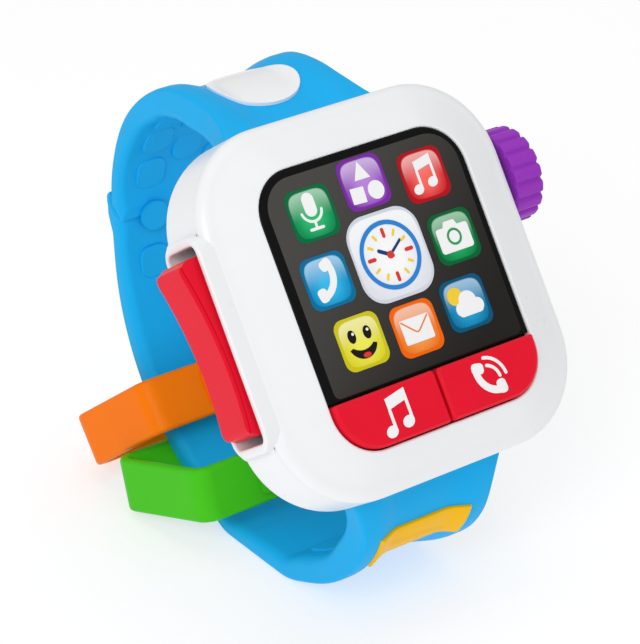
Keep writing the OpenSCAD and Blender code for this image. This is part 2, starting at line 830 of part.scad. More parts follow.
// Speaker behind the grille, and the ring that holds it
module speaker() {
    back = inner_back - seat_gap;
    color("darkgray") worn() translate([0, speaker_rise, 0]) {
        difference() {
            slab(back - speaker_frame_t, back) circle(speaker_r);
            translate([0, 0, back - speaker_frame_t / 2])
                cylinder(r1 = magnet_r / 2, r2 = speaker_r - speaker_wall_t,
                    h = speaker_frame_t / 2 + over / 2);
        }
        slab(back - speaker_frame_t - magnet_t, back - speaker_frame_t) circle(magnet_r);
    }
}
module speaker_clamp() {
    front = inner_back - seat_gap - speaker_frame_t;
    color("ivory") worn() slab(front - clamp_t, front) translate([0, speaker_rise]) difference() {
        circle(speaker_r + fit_gap / 2 - seat_gap);
        circle(clamp_in);
    }
}

// Crown, its shaft and what holds it inside
crown_x = case_w / 2 + crown_gap;
wheel_x = case_w / 2 - wall - crown_boss_l - clip_t - 2 * fit_gap - wheel_t;
clip_x = case_w / 2 - wall - crown_boss_l - clip_t - fit_gap;
module on_crown_axis() {
    translate([0, crown_rise, crown_depth]) children();
}
module crown() {
    color("darkorchid") worn() on_crown_axis() difference() {
        union() {
            translate([crown_x, 0, 0]) rotate([0, 90, 0]) rotate_extrude() polygon([
                [0, 0], [crown_r - crown_bevel / 2, 0], [crown_r, crown_bevel / 2],
                [crown_r, crown_t - crown_bevel], [crown_r - crown_bevel, crown_t], [crown_recess_r, crown_t],
                [crown_recess_r - crown_recess, crown_t - crown_recess], [0, crown_t - crown_recess]]);
            axle(crown_hub_r, case_w / 2 + fit_gap, crown_x + over);
        }
        for (k = [0:crown_lobes - 1]) rotate([k * 360 / crown_lobes, 0, 0]) translate([0, crown_r, 0])
            axle(groove_r, crown_x - over, crown_x + crown_t + over);
        axle(crown_shaft_r + run_gap, case_w / 2, crown_x + crown_socket + run_gap);
    }
}
module crown_shaft() {
    color("silver") worn() on_crown_axis() {
        axle(crown_shaft_r, clip_x + clip_t + run_gap, crown_x + crown_socket);
        axle(crown_shaft_r - clip_groove, clip_x - over / 2, clip_x + clip_t + over / 2);
        axle(crown_shaft_r, wheel_x - fit_gap, clip_x - run_gap);
    }
}
module crown_clip() {
    color("silver") worn() on_crown_axis() difference() {
        axle(clip_r, clip_x, clip_x + clip_t);
        axle(crown_shaft_r - clip_groove + run_gap, clip_x - over, clip_x + clip_t + over);
    }
}
module crown_wheel() {
    color("ivory") worn() on_crown_axis() difference() {
        axle(wheel_r, wheel_x, wheel_x + wheel_t);
        for (k = [0:wheel_teeth - 1]) rotate([k * 360 / wheel_teeth, 0, 0]) translate([0, wheel_r, 0])
            axle(tooth_r, wheel_x - over, wheel_x + wheel_t + over);
        axle(crown_shaft_r + run_gap, wheel_x - over, wheel_x + wheel_t + over);
    }
}
module crown_spring() {
    leaf_back = crown_depth - wheel_r - fit_gap;
    color("goldenrod") worn() translate([wheel_x, crown_rise - spring_l + spring_foot_l, 0]) {
        translate([0, 0, leaf_back - spring_leaf_t]) cube([wheel_t, spring_l, spring_leaf_t]);
        translate([0, 0, board_back]) cube([wheel_t, spring_foot_l, leaf_back - board_back]);
    }
}

// Power switch on the back
plate_back = inner_back - fit_gap;
power_switch_front = plate_back - slider_plate_t - 5 * slider_rail_t;
module power_slider() {
    color("dimgray") worn() translate([slider_x, slider_up - slider_travel / 2]) {
        slab(plate_back - slider_plate_t, plate_back) square([slider_plate_w, slider_plate_l], center = true);
        slab(plate_back, case_d + slider_proud) square([slider_knob_w, slider_knob_l], center = true);
    }
}
module power_switch() {
    color("silver") worn() slab(power_switch_front, plate_back - slider_plate_t - fit_gap)
        translate([slider_x, slider_up]) square([slider_plate_w, slider_plate_l], center = true);
}

// Battery cover, its screw, the cells and their contacts
module battery_cover() {
    color("white") worn() difference() {
        union() {
            slab(case_d - cover_t, case_d) translate([cover_shift, -bay_drop])
                round_rect(cover_l - 2 * fit_gap, cover_h - 2 * fit_gap, cover_r - fit_gap);
            for (y = [-1, 1]) translate([cover_shift - cover_l / 2 - cover_catch_out,
                y * cover_h / 4 - bay_drop - cover_catch_l / 2, case_d - cover_t])
                cube([cover_catch_out + over, cover_catch_l, cover_catch_t]);
        }
        peg(cover_screw_x, -bay_drop, screw_hole_r, case_d - cover_t - over, case_d + over);
        peg(cover_screw_x, -bay_drop, head_well_r, case_d - cover_t / 2, case_d + over);
    }
}
module battery_screw() {
    seat = case_d - cover_t / 2;
    color("silver") worn() {
        peg(cover_screw_x, -bay_drop, screw_head_r, seat, seat + cover_t / 2 - seat_gap);
        peg(cover_screw_x, -bay_drop, screw_r, inner_back - cover_screw_l + fit_gap, seat);
    }
}
module per_cell() {
    for (s = [-1, 1]) translate([0, -bay_drop + s * (cell_r + cell_apart / 2), cell_depth])
        rotate([0, 0, s > 0 ? 0 : 180]) children();
}
cell_end = bay_l / 2 - contact_t - nub_out - seat_gap;
module batteries() {
    color("darkgreen") worn() per_cell() {
        axle(cell_r - seat_gap, cell_end - cell_l, cell_end);
        axle(nub_out_r, cell_end - over, cell_end + nub_out);
    }
}
module battery_contacts() {
    color("silver") worn() {
        per_cell() {
            translate([bay_l / 2 - contact_t - seat_gap / 2, -contact_w / 2, -contact_w / 2])
                cube([contact_t, contact_w, contact_w]);
            translate([seat_gap / 2 - bay_l / 2, -contact_w / 2, -contact_w / 2])
                cube([contact_t, contact_w, contact_w]);
            axle(contact_spring_r, contact_t - bay_l / 2, cell_end - cell_l - seat_gap);
        }
    }
}

module housing_screws() {
    color("silver") worn() for (x = [-1, 1], y = [-1, 1]) {
        peg(x * boss_x, y * boss_y, screw_head_r, screw_seat, screw_seat + screw_head_t);
        peg(x * boss_x, y * boss_y, screw_r, screw_seat - screw_l, screw_seat);
    }
}

// Strap halves: a floor, and rails that leave the dish between them
module strap_run(from, to, far) {
    half = strap_w / 2;
    across(-half, half) polygon(band(from, to, [0, 1, 0], far));
    for (s = [-1, 1]) {
        mid_in = s * half * mid_rail_share;
        rail_in = s * half * rail_share;
        across(min(mid_in, s * half), max(mid_in, s * half)) polygon(band(from, to, [0, 0.5, 0], far));
        across(min(rail_in, s * half), max(rail_in, s * half)) polygon(band(from, to, [0, 0, 0], far));
    }
}
module strap_tongue(s) {
    difference() {
        union() {
            translate([-tongue_w / 2, s > 0 ? case_h / 2 - tongue_l : -case_h / 2 - 2 * strap_sink,
                tongue_depth - tongue_t / 2])
                cube([tongue_w, tongue_l + 2 * strap_sink, tongue_t]);
            translate([0, s * (case_h / 2 - strap_pin_in), tongue_depth])
                axle(eye_r, -tongue_w / 2, tongue_w / 2);
        }
        translate([0, s * (case_h / 2 - strap_pin_in), tongue_depth])
            axle(strap_pin_r + run_gap, -tongue_w, tongue_w);
    }
}
// Flare on both sides of the strap where it meets the case, eased out along the strap. The way
// is 1 from the first station onwards and -1 from the last one backwards.
module root_flare(t, way, from, to) {
    place = outer_at(t);
    inward = inward_at(t);
    side = (strap_root_w - strap_w) / 2;
    intersection() {
        across(-strap_root_w / 2, strap_root_w / 2) polygon(band(from, to, [0, 0, 0], [1, 0, 0]));
        translate([0, place[1], place[0]]) rotate([atan2(-inward[1], inward[0]), 0, 0])
            translate([0, 0, -strap_t]) linear_extrude(3 * strap_t) for (s = [-1, 1]) polygon(concat(
                [[s * (strap_w / 2 - over), -way * over], [s * (strap_w / 2 + side), -way * over]],
                [for (k = [0:flare_steps]) [s * (strap_w / 2 + side * pow(1 - k / flare_steps, 2)),
                    way * flare_l * k / flare_steps]],
                [[s * (strap_w / 2 - over), way * flare_l]]));
    }
}
// Something set square on the inner face of the strap at a station
module on_inner_face(t, x) {
    place = face_at(t, [1, 0, 0]);
    inward = inward_at(t);
    translate([x, place[1], place[0]]) rotate([atan2(-inward[1], inward[0]), 0, 0]) children();
}
module pads(steps) {
    for (k = steps, s = [-1, 1]) on_inner_face(k + s * pad_shift_share, s * strap_w * pad_side_share)
        translate([0, 0, -strap_t / 4]) cylinder(r = pad_r, h = strap_t / 4 + pad_t);
}
lap_mid = (lap_from + lap_to) / 2;
lap_t = strap_t * share_at(lap_mid, 2);
module stud_bores() {
    for (s = [-1, 1]) on_inner_face(lap_mid, s * stud_x)
        translate([0, 0, -lap_t - run_gap]) cylinder(r = stud_r + run_gap, h = 2 * lap_t);
}
module upper_strap() {
    color("deepskyblue") worn() {
        difference() {
            union() {
                strap_run(0, lap_from, [1, 0, 0]);
                root_flare(0, 1, 0, flare_share * last);
                across(-strap_w / 2, strap_w / 2)
                    polygon(band(lap_from - lap_lead, lap_to, [0.5, 0, lap_slit], [1, 0, lap_step / 2]));
            }
            case_body(fit_gap);
            stud_bores();
        }
        difference() {
            pads(upper_pad_steps);
            case_body(fit_gap);
        }
        strap_tongue(1);
    }
}
module lower_strap() {
    color("deepskyblue") worn() {
        difference() {
            union() {
                strap_run(lap_to + lap_joint, last, [1, 0, 0]);
                root_flare(last, -1, (1 - flare_share) * last, last);
                across(-strap_w / 2, strap_w / 2)
                    polygon(band(lap_from + lap_joint, lap_to + lap_lead, [0, 0, -lap_step],
                        [0.5, 0, -lap_slit]));
            }
            case_body(fit_gap);
            stud_bores();
        }
        difference() {
            pads(lower_pad_steps);
            case_body(fit_gap);
        }
        strap_tongue(-1);
    }
}
module strap_pins() {
    color("silver") worn() for (y = [-1, 1]) translate([0, y * (case_h / 2 - strap_pin_in), tongue_depth])
        axle(strap_pin_r, -strap_pin_l / 2, strap_pin_l / 2);
}
module strap_studs() {
    color("deepskyblue") worn() for (s = [-1, 1]) on_inner_face(lap_mid, s * stud_x) {
        translate([0, 0, lap_step / 2 + stud_seat]) cylinder(r = stud_head_r, h = stud_head_t);
        translate([0, 0, -lap_t])
            cylinder(r = stud_r, h = lap_t + lap_step / 2 + stud_seat + stud_head_t / 2);
    }
}

// Filling of the dish: a core on its floor and a wider cap on the step beside it
module dish_filling(from, to, w) {
    core = strap_w * mid_rail_share - 2 * fit_gap;
    across(-core / 2, core / 2) polygon(band(from, to, [0, 0.5, -filling_t], [0, 1, -seat_gap]));
    across(-w / 2, w / 2) polygon(band(from, to, [0, 0.5, -filling_t], [0, 0.5, -seat_gap]));
}

// Oval badge in the upper dish, left bare, and the inlay in the lower one
module strap_badge() {
    place = face_at(badge_at, [0, 1, 0]);
    inward = inward_at(badge_at);
    color("white") worn() intersection() {
        dish_filling(badge_at - badge_span, badge_at + badge_span, badge_w);
        translate([0, place[1], place[0]]) rotate([atan2(-inward[1], inward[0]), 0, 0])
            translate([0, 0, -strap_t]) linear_extrude(2 * strap_t)
                polygon([for (k = [0:badge_steps - 1]) let (a = k * 360 / badge_steps)
                    [cos(a) * badge_w / 2, sin(a) * badge_l / 2]]);
    }
}
module strap_inlay() {
    color("gold") worn() dish_filling(inlay_from, inlay_to, strap_w * rail_share - 2 * fit_gap);
}

// Rings: a flat-sided loop with rounded corners, wider at its back
function corner(p, q, r, n) = let (a = unit(p[0] - p[1]), b = unit(q - p[1]), turn = acos(a * b),
    mid = p[1] + unit(a + b) * r / sin(turn / 2))
    [for (k = [0:n]) mid + r * unit((p[1] + a * r / tan(turn / 2) - mid) * (1 - k / n)
        + (p[1] + b * r / tan(turn / 2) - mid) * (k / n))];
function rounded(points, r, n) = let (c = len(points))
    [for (i = [0:c - 1]) each corner([points[(i + c - 1) % c], points[i]], points[(i + 1) % c], r, n)];
function ring_plan(inset) = let (slope = ring_flare / ring_d, side = inset * sqrt(1 + slope * slope),
    front = ring_w / 2 - side, d = ring_d - inset)
    [[-front - slope * inset, inset], [front + slope * inset, inset], [front + slope * d, d],
        [-front - slope * d, d]];
module ring_loop() {
    linear_extrude(ring_h) difference() {
        polygon(rounded(ring_plan(0), ring_r, ring_steps));
        polygon(rounded(ring_plan(ring_wall), ring_r - ring_wall, ring_steps));
    }
}
// Directions along a canted ring's depth and height, as depth and height of the case
function ring_back(tilt) = [cos(tilt), -sin(tilt)];
function ring_up(tilt) = [sin(tilt), cos(tilt)];
green_foot = outer_at(green_at) - ring_play * inward_at(green_at)
    - (ring_d - ring_wall) * ring_back(green_tilt) - ring_h * ring_up(green_tilt);
green_crest = green_foot + ring_d * ring_back(green_tilt) + ring_h * ring_up(green_tilt);
orange_foot = green_crest + ring_play * ring_up(orange_tilt)
    - orange_lead_share * ring_d * ring_back(orange_tilt);
module placed_ring(foot, tilt, slip) {
    translate([slip, foot[1], foot[0]]) multmatrix([[1, 0, 0, 0],
        [0, ring_back(tilt)[1], ring_up(tilt)[1], 0],
        [0, ring_back(tilt)[0], ring_up(tilt)[0], 0], [0, 0, 0, 1]])
        ring_loop();
}
module orange_ring() {
    color("darkorange") worn() placed_ring(orange_foot, orange_tilt, orange_slip);
}
module green_ring() {
    color("limegreen") worn() placed_ring(green_foot, green_tilt, 0);
}

front_housing();
back_housing();
rocker_frame();
display_window();
icon_card();
light_diffuser();
light_grid();
music_button();
phone_button();
button_keypad();
circuit_board();
board_parts();
leds();
board_screws();
speaker();
speaker_clamp();
rocker();
rocker_pin();
rocker_switch();
crown();
crown_shaft();
crown_wheel();
crown_clip();
crown_spring();
power_slider();
power_switch();
battery_cover();
battery_screw();
batteries();
battery_contacts();
housing_screws();
upper_strap();
lower_strap();
strap_pins();
strap_studs();
strap_badge();
strap_inlay();
orange_ring();
green_ring();
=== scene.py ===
# Toy wrist watch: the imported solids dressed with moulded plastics, a printed dial and a soft strap
import bpy
import json
import math
from mathutils import Matrix, Vector


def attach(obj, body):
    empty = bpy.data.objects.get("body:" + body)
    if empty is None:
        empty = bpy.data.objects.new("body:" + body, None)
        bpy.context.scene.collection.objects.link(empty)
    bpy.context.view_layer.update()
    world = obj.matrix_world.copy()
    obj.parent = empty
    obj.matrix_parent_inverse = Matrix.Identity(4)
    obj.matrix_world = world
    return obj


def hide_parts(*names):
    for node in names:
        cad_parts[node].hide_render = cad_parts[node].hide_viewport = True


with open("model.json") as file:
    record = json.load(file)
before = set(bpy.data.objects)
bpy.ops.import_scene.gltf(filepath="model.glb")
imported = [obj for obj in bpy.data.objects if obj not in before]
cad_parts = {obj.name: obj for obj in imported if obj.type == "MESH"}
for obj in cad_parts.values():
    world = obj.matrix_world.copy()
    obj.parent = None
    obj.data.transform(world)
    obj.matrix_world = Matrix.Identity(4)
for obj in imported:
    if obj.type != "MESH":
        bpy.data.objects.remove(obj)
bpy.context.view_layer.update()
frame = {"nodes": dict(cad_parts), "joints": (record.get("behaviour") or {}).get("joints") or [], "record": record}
record = frame["record"]
joints = {j["name"]: j for j in frame["joints"]}
nodes = frame["nodes"]
bpy.context.scene.view_settings.view_transform = "Standard"
print("frame loaded:", len(nodes), "nodes")

# The dial's own frame: x to the right, y up the dial, z out of it, in millimetres from the middle of the case
case = {
    "width": 78.4, "height": 82.5, "wall": 2.2, "cornerRadius": 20.5, "seam": 6.4, "creaseIn": 3.2, "creaseDepth": 3.45,
    "windowWidth": 54.2, "windowHeight": 62.2, "windowRadius": 10, "windowDrop": 0.45,
    "buttonHeight": 12.3, "buttonProud": 1.5, "buttonSplit": 0.6,
    "crownDepth": 15, "crownRise": 15.6, "rockerDepth": 11.6, "rockerTilt": 3.6, "pivotIn": 1.5,
}
mm = 0.001
weldDistance = 0.0005


def axes(right, up, out):
    # turn that lays x, y and z on three directions
    return Matrix((right, up, out)).transposed().to_4x4()


rightWay = Vector((1, 0, 0))
inWay = Vector(joints["music_press"]["axis"]).normalized()
upWay = rightWay.cross(inWay)
dialOrigin = Vector(joints["crown_turn"]["pos_m"]) - (inWay * case["crownDepth"] + upWay * case["crownRise"]) * mm
dialOrigin.x = 0
dialFrame = Matrix.Translation(dialOrigin) @ axes(rightWay, upWay, -inWay) @ Matrix.Scale(mm, 4)
caseSide = -case["width"] / 2
leftFace = Matrix.Translation((caseSide, 0, -case["rockerDepth"])) @ axes((0, 0, 1), (0, 1, 0), (-1, 0, 0))


# Shader expressions: a wire is a socket that takes part in sums
class Wire:
    def __init__(self, finish, socket):
        self.finish = finish
        self.socket = socket

    def sum(self, operation, first, second=0):
        return self.finish.node("ShaderNodeMath", {"operation": operation}, {0: first, 1: second})

    def __add__(self, other): return self.sum("ADD", self, other)
    def __radd__(self, other): return self.sum("ADD", other, self)
    def __sub__(self, other): return self.sum("SUBTRACT", self, other)
    def __mul__(self, other): return self.sum("MULTIPLY", self, other)
    def __rmul__(self, other): return self.sum("MULTIPLY", other, self)
    def __truediv__(self, other): return self.sum("DIVIDE", self, other)
    def __pow__(self, other): return self.sum("POWER", self, other)
    def most(self, other): return self.sum("MAXIMUM", self, other)


class Finish:
    def __init__(self, name, kind=bpy.data.materials):
        self.owner = kind.new(name)
        self.owner.use_nodes = True
        self.tree = self.owner.node_tree
        self.tree.nodes.clear()

    def node(self, kind, settings=None, values=None, out=0):
        made = self.tree.nodes.new(kind)
        for key, value in (settings or {}).items():
            setattr(made, key, value)
        for key, value in (values or {}).items():
            socket = made.inputs[key]
            if isinstance(value, Wire):
                self.tree.links.new(value.socket, socket)
            else:
                socket.default_value = value
        return Wire(self, made.outputs[out]) if len(made.outputs) else None

    def point(self):
        return self.node("ShaderNodeTexCoord", out="Object")

    def along(self, direction, start):
        # distance in millimetres along a direction, from a point in the watch's frame
        dot = self.node("ShaderNodeVectorMath", {"operation": "DOT_PRODUCT"},
                        {0: self.point(), 1: tuple(direction)}, "Value")
        return (dot - start.dot(direction)) / mm

    def noise(self, size, detail=2.0, roughness=0.5):
        # size is the width of a blotch in millimetres
        values = {"Vector": self.point(), "Scale": 1 / (size * mm), "Detail": detail, "Roughness": roughness}
        return self.node("ShaderNodeTexNoise", {}, values)

    def bump(self, strength, depth, height):
        return self.node("ShaderNodeBump", {}, {"Strength": strength, "Distance": depth * mm, "Height": height})

    def mix(self, share, first, second):
        return self.node("ShaderNodeMix", {"data_type": "RGBA"}, {0: share, 6: first, 7: second}, 2)

    def ramp(self, value, low, high):
        # smooth rise from 0 to 1 between two values
        values = {"Value": value, "From Min": low, "From Max": high}
        return self.node("ShaderNodeMapRange", {"interpolation_type": "SMOOTHSTEP"}, values)

    def surface(self, values):
        shader = self.node("ShaderNodeBsdfPrincipled", {}, values)
        self.node("ShaderNodeOutputMaterial", {}, {"Surface": shader})
        return self.owner


def colourOf(code):
    # sRGB code to the linear colour that a shader takes
    parts = [int(code[i:i + 2], 16) / 255 for i in (0, 2, 4)]
    return tuple(((c + 0.055) / 1.055) ** 2.4 if c > 0.04045 else c / 12.92 for c in parts) + (1,)


def shaded(colour, factor):
    return tuple(min(1, c * factor) for c in colour[:3]) + (1,)


plasticLook = {"cloudSize": 9, "speckSize": 2.2, "speckRoughness": 0.6, "speckHeight": 0.4, "bumpDepth": 0.1,
               "cloudGloss": 0.1, "speckGloss": 0.06, "coatRoughness": 0.12}
metalLook = {"cloudSize": 1.5, "grainSize": 0.12, "dark": 0.86, "light": 1.06, "bump": 0.12, "bumpDepth": 0.05,
             "cloudGloss": 0.2}


def mouldedPlastic(name, code, roughness=0.34, blotch=0.04, grain=0.05, grainSize=0.35, coat=0.0, specular=0.1):
    finish, look = Finish(name), plasticLook
    colour = colourOf(code)
    cloud = finish.noise(look["cloudSize"], 2)
    fine = finish.noise(grainSize, 3)
    speck = finish.noise(look["speckSize"], 4, look["speckRoughness"])
    base = finish.mix(cloud, shaded(colour, 1 - blotch), shaded(colour, 1 + blotch))
    bump = finish.bump(grain, look["bumpDepth"], fine + speck * look["speckHeight"])
    gloss = roughness + (cloud - 0.5) * look["cloudGloss"] + (speck - 0.5) * look["speckGloss"]
    return finish.surface({"Base Color": base, "Roughness": gloss, "Normal": bump, "Coat Weight": coat,
                           "Coat Roughness": look["coatRoughness"], "Specular IOR Level": specular})


def brushedMetal(name, code, roughness=0.32):
    finish, look = Finish(name), metalLook
    colour = colourOf(code)
    cloud = finish.noise(look["cloudSize"], 3)
    fine = finish.noise(look["grainSize"], 2)
    base = finish.mix(cloud, shaded(colour, look["dark"]), shaded(colour, look["light"]))
    bump = finish.bump(look["bump"], look["bumpDepth"], fine)
    gloss = roughness + (cloud - 0.5) * look["cloudGloss"]
    return finish.surface({"Base Color": base, "Metallic": 1.0, "Roughness": gloss, "Normal": bump})


casePlastic = mouldedPlastic("casePlastic", "f1f3f5", 0.3, 0.015, 0.03, specular=0.4)
redPlastic = mouldedPlastic("redPlastic", "ea1630", 0.33, 0.04, 0.04)
purplePlastic = mouldedPlastic("purplePlastic", "9a38bd", 0.36, 0.05, 0.05)
strapPlastic = mouldedPlastic("strapPlastic", "18b0f0", 0.46, 0.04, 0.09, 0.25)
orangePlastic = mouldedPlastic("orangePlastic", "ff7a00", 0.38, 0.04, 0.05)
greenPlastic = mouldedPlastic("greenPlastic", "47c61a", 0.38, 0.05, 0.05)
yellowPlastic = mouldedPlastic("yellowPlastic", "fbbe04", 0.4, 0.04, 0.06)
badgePlastic = mouldedPlastic("badgePlastic", "f6f7f8", 0.24, 0.012, 0.02, coat=0.3)
printWhite = mouldedPlastic("printWhite", "f7f7f7", 0.3, 0.02, 0.03, 0.6)
screenBlack = mouldedPlastic("screenBlack", "0b0b0b", 0.14, 0.1, 0.005, 1.2, specular=0.12)
steelPlain = brushedMetal("steelPlain", "c4c6c9")
slotFinish = {
    "white_plastic": casePlastic, "red_plastic": redPlastic, "purple_plastic": purplePlastic, "strap_blue": strapPlastic,
    "ring_orange": orangePlastic, "ring_green": greenPlastic, "inlay_yellow": yellowPlastic, "badge_white": badgePlastic,
    "window_black": screenBlack, "steel": steelPlain,
    "spring_brass": brushedMetal("springBrass", "d9b46a", 0.3),
    "cell_can": brushedMetal("cellCan", "8d949c", 0.35),
    "component_black": mouldedPlastic("blackPlastic", "161616", 0.4, 0.2, 0.1),
    "board_green": mouldedPlastic("boardGreen", "1f6b45", 0.35, 0.1, 0.12, 0.6),
    "keypad_rubber": mouldedPlastic("keypadRubber", "c8cbcc", 0.6, 0.03, 0.15),
    "inner_white": mouldedPlastic("innerWhite", "e6e5e0", 0.5, 0.03, 0.1),
    "diffuser_white": mouldedPlastic("diffuserMilk", "eef1f4", 0.45, 0.02, 0.05),
    "lamp_clear": mouldedPlastic("lampClear", "f5efc8", 0.2, 0.02, 0.02),
    "card_black": mouldedPlastic("cardFilm", "1b1b1c", 0.4, 0.1, 0.03),
    "slider_grey": mouldedPlastic("sliderGrey", "2c2d2f", 0.42, 0.06, 0.1),
}
for entry in record["subparts"]:
    target = nodes[entry["node"]]
    target.data.materials.clear()
    target.data.materials.append(slotFinish[entry["material_slot"]])
nodes["battery_contacts"].data.materials[0] = brushedMetal("steelPlate", "d2d4d6", 0.25)
print("finishes made:", len(bpy.data.materials))


# Modelling helpers
def clearPick():
    bpy.ops.object.select_all(action="DESELECT")


def makeActive(piece):
    clearPick()
    piece.select_set(True)
    bpy.context.view_layer.objects.active = piece


def inEdit(piece, *steps):
    # each step is an operator and its settings, run on the whole mesh
    makeActive(piece)
    bpy.ops.object.mode_set(mode="EDIT")
    bpy.ops.mesh.select_all(action="SELECT")
    for operator, settings in steps:
        operator(**settings)
    bpy.ops.object.mode_set(mode="OBJECT")


def withModifier(piece, kind, **settings):
    makeActive(piece)
    modifier = piece.modifiers.new(kind.lower(), kind)
    for key, value in settings.items():
        setattr(modifier, key, value)
    bpy.ops.object.modifier_apply(modifier=modifier.name)
    return piece


def softEdges(piece, width, segments=3, angle=40):
    return withModifier(piece, "BEVEL", width=width, segments=segments, limit_method="ANGLE",
                        angle_limit=math.radians(angle))


def joined(name, parts):
    clearPick()
    for part in parts:
        part.select_set(True)
    bpy.context.view_layer.objects.active = parts[0]
    if len(parts) > 1:
        bpy.ops.object.join()
    piece = bpy.context.object
    piece.name = name
    return piece


def finishPiece(piece, name, material, body="watch", replaces=(), angle=35):
    # puts the piece's place into its mesh, then gives it its finish and the body that carries it
    piece.data.transform(dialFrame @ piece.matrix_world)
    piece.matrix_world = Matrix.Identity(4)
    piece.name = name
    makeActive(piece)
    bpy.ops.object.shade_smooth_by_angle(angle=math.radians(angle))
    withModifier(piece, "WEIGHTED_NORMAL", mode="FACE_AREA", weight=50, keep_sharp=True)
    piece.data.materials.clear()
    piece.data.materials.append(material)
    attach(piece, body)
    if replaces:
        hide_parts(*replaces)
    return piece


def cutPlate(outline, low, high):
    # plate between two heights: a filled circle whose points are moved to the outline, then extruded
    bpy.ops.mesh.primitive_circle_add(vertices=len(outline), radius=1, fill_type="NGON")
    plate = bpy.context.object
    for vertex, (x, y) in zip(plate.data.vertices, outline):
        vertex.co = (x, y, low)
    inEdit(plate, (bpy.ops.mesh.extrude_region_move, {"TRANSFORM_OT_translate": {"value": (0, 0, high - low)}}))
    inEdit(plate, (bpy.ops.mesh.normals_make_consistent, {"inside": False}))
    return plate


def gridLoft(columns, rows, pointAt, capped=True):
    # a grid whose points are laid on a surface: columns run round it or across it, rows along it
    bpy.ops.mesh.primitive_grid_add(x_subdivisions=columns, y_subdivisions=rows, size=2)
    sheet = bpy.context.object
    for index, vertex in enumerate(sheet.data.vertices):
        row, column = divmod(index, columns + 1)
        vertex.co = pointAt(column, row)
    inEdit(sheet, (bpy.ops.mesh.remove_doubles, {"threshold": weldDistance}))
    if capped:
        inEdit(sheet, (bpy.ops.mesh.select_all, {"action": "DESELECT"}),
               (bpy.ops.mesh.select_non_manifold, {"extend": False}), (bpy.ops.mesh.fill_holes, {"sides": 0}))
    inEdit(sheet, (bpy.ops.mesh.normals_make_consistent, {"inside": False}))
    return sheet


def arc(cx, cy, radius, start, end, count):
    return [(cx + radius * math.cos(math.radians(start + (end - start) * k / count)),
             cy + radius * math.sin(math.radians(start + (end - start) * k / count))) for k in range(count + 1)]


def disc(cx, cy, radius, count=40, stretch=1.0):
    return [(x, cy + (y - cy) * stretch) for x, y in arc(cx, cy, radius, 0, 360 - 360 / count, count - 1)]


def cornered(left, right, low, high, radii, counts):
    # box whose corners have their own radii, from the upper right one round to the left
    places = ((right, high, -1, -1), (left, high, 1, -1), (left, low, 1, 1), (right, low, -1, 1))
    return [p for k, ((x, y, sx, sy), r, count) in enumerate(zip(places, radii, counts))
            for p in arc(x + sx * r, y + sy * r, r, 90 * k, 90 * k + 90, count)]


def roundBox(width, height, radius, cx=0, cy=0, turn=0, count=8):
    box = cornered(-width / 2, width / 2, -height / 2, height / 2, (radius,) * 4, (count,) * 4)
    return turned(box, turn, cx, cy)


def turned(points, turn, cx=0, cy=0):
    c, s = math.cos(math.radians(turn)), math.sin(math.radians(turn))
    return [(cx + x * c - y * s, cy + x * s + y * c) for x, y in points]


def stroke(path, width, caps=8):
    # outline of a line of some width with round ends
    half = width / 2
    steps = [Vector(path[min(i + 1, len(path) - 1)]) - Vector(path[max(i - 1, 0)]) for i in range(len(path))]
    normals = [Vector((-d.y, d.x)).normalized() for d in steps]
    left = [tuple(Vector(p) + n * half) for p, n in zip(path, normals)]
    right = [tuple(Vector(p) - n * half) for p, n in zip(path, normals)]
    startTurn = math.degrees(math.atan2(normals[0].y, normals[0].x))
    endTurn = math.degrees(math.atan2(-normals[-1].y, -normals[-1].x))
    startCap = arc(path[0][0], path[0][1], half, startTurn, startTurn + 180, caps)[1:-1]
    endCap = arc(path[-1][0], path[-1][1], half, endTurn, endTurn + 180, caps)[1:-1]
    return right + endCap + left[::-1] + startCap


def moved(points, dx, dy):
    return [(x + dx, y + dy) for x, y in points]


# Strap: the loop's outer edge is a smooth path through stations, each with shares of reach, half height,
# thickness and dish
strap = {
    "stations": [
        (0.143, 0.670, 1.22, 0.5), (0.206, 0.800, 1.42, 0.9), (0.290, 0.911, 1.38, 1), (0.382, 0.983, 1.22, 1),
        (0.474, 1.000, 1.00, 0.9), (0.620, 0.962, 0.82, 0.5), (0.758, 0.821, 0.66, 0), (0.875, 0.580, 0.70, 0),
        (0.967, 0.297, 0.85, 0), (1.000, 0.010, 0.88, 0), (0.969, -0.321, 0.85, 0), (0.907, -0.539, 0.74, 0),
        (0.840, -0.718, 0.68, 0), (0.663, -0.918, 0.78, 0), (0.551, -0.978, 1.00, 0.5), (0.446, -0.999, 1.05, 0.9),
        (0.330, -0.975, 1.28, 1), (0.244, -0.903, 1.30, 1), (0.181, -0.778, 1.15, 0.9), (0.165, -0.725, 1.05, 0.5)],
    "reach": 92.4, "height": 115.8, "middle": 1.55, "sink": 0.75, "restFrom": 12,
    "width": 35, "rootWidth": 41.6, "flare": 14, "flareTo": 3, "flareFrom": 15,
    "thickness": 6.2, "dish": 2.2, "dishInner": 6.5, "dishOuter": 14.2,
    "outerRound": 1.0, "innerRound": 2.4, "outerShare": 0.35, "innerShare": 0.45, "innerFlat": (0.6, 0.3, 0, -0.3, -0.6),
}
stations = [Vector((a * strap["reach"], strap["middle"] + b * strap["height"] / 2)) for a, b, *_ in strap["stations"]]
stations[0].y = case["height"] / 2 - strap["sink"]
stations[-1].y = strap["sink"] - case["height"] / 2
lastStation = len(stations) - 1


def chord(i):
    return stations[i + 1] - stations[i]


def stationHeading(i):
    if i == 0:
        return chord(0).normalized()
    if i == lastStation:
        return chord(lastStation - 1).normalized()
    if i in (strap["restFrom"], strap["restFrom"] + 1):
        return chord(strap["restFrom"]).normalized()
    before, after = chord(i - 1), chord(i)
    return (before / before.length * after.length + after / after.length * before.length).normalized()


headings = [stationHeading(i) for i in range(len(stations))]


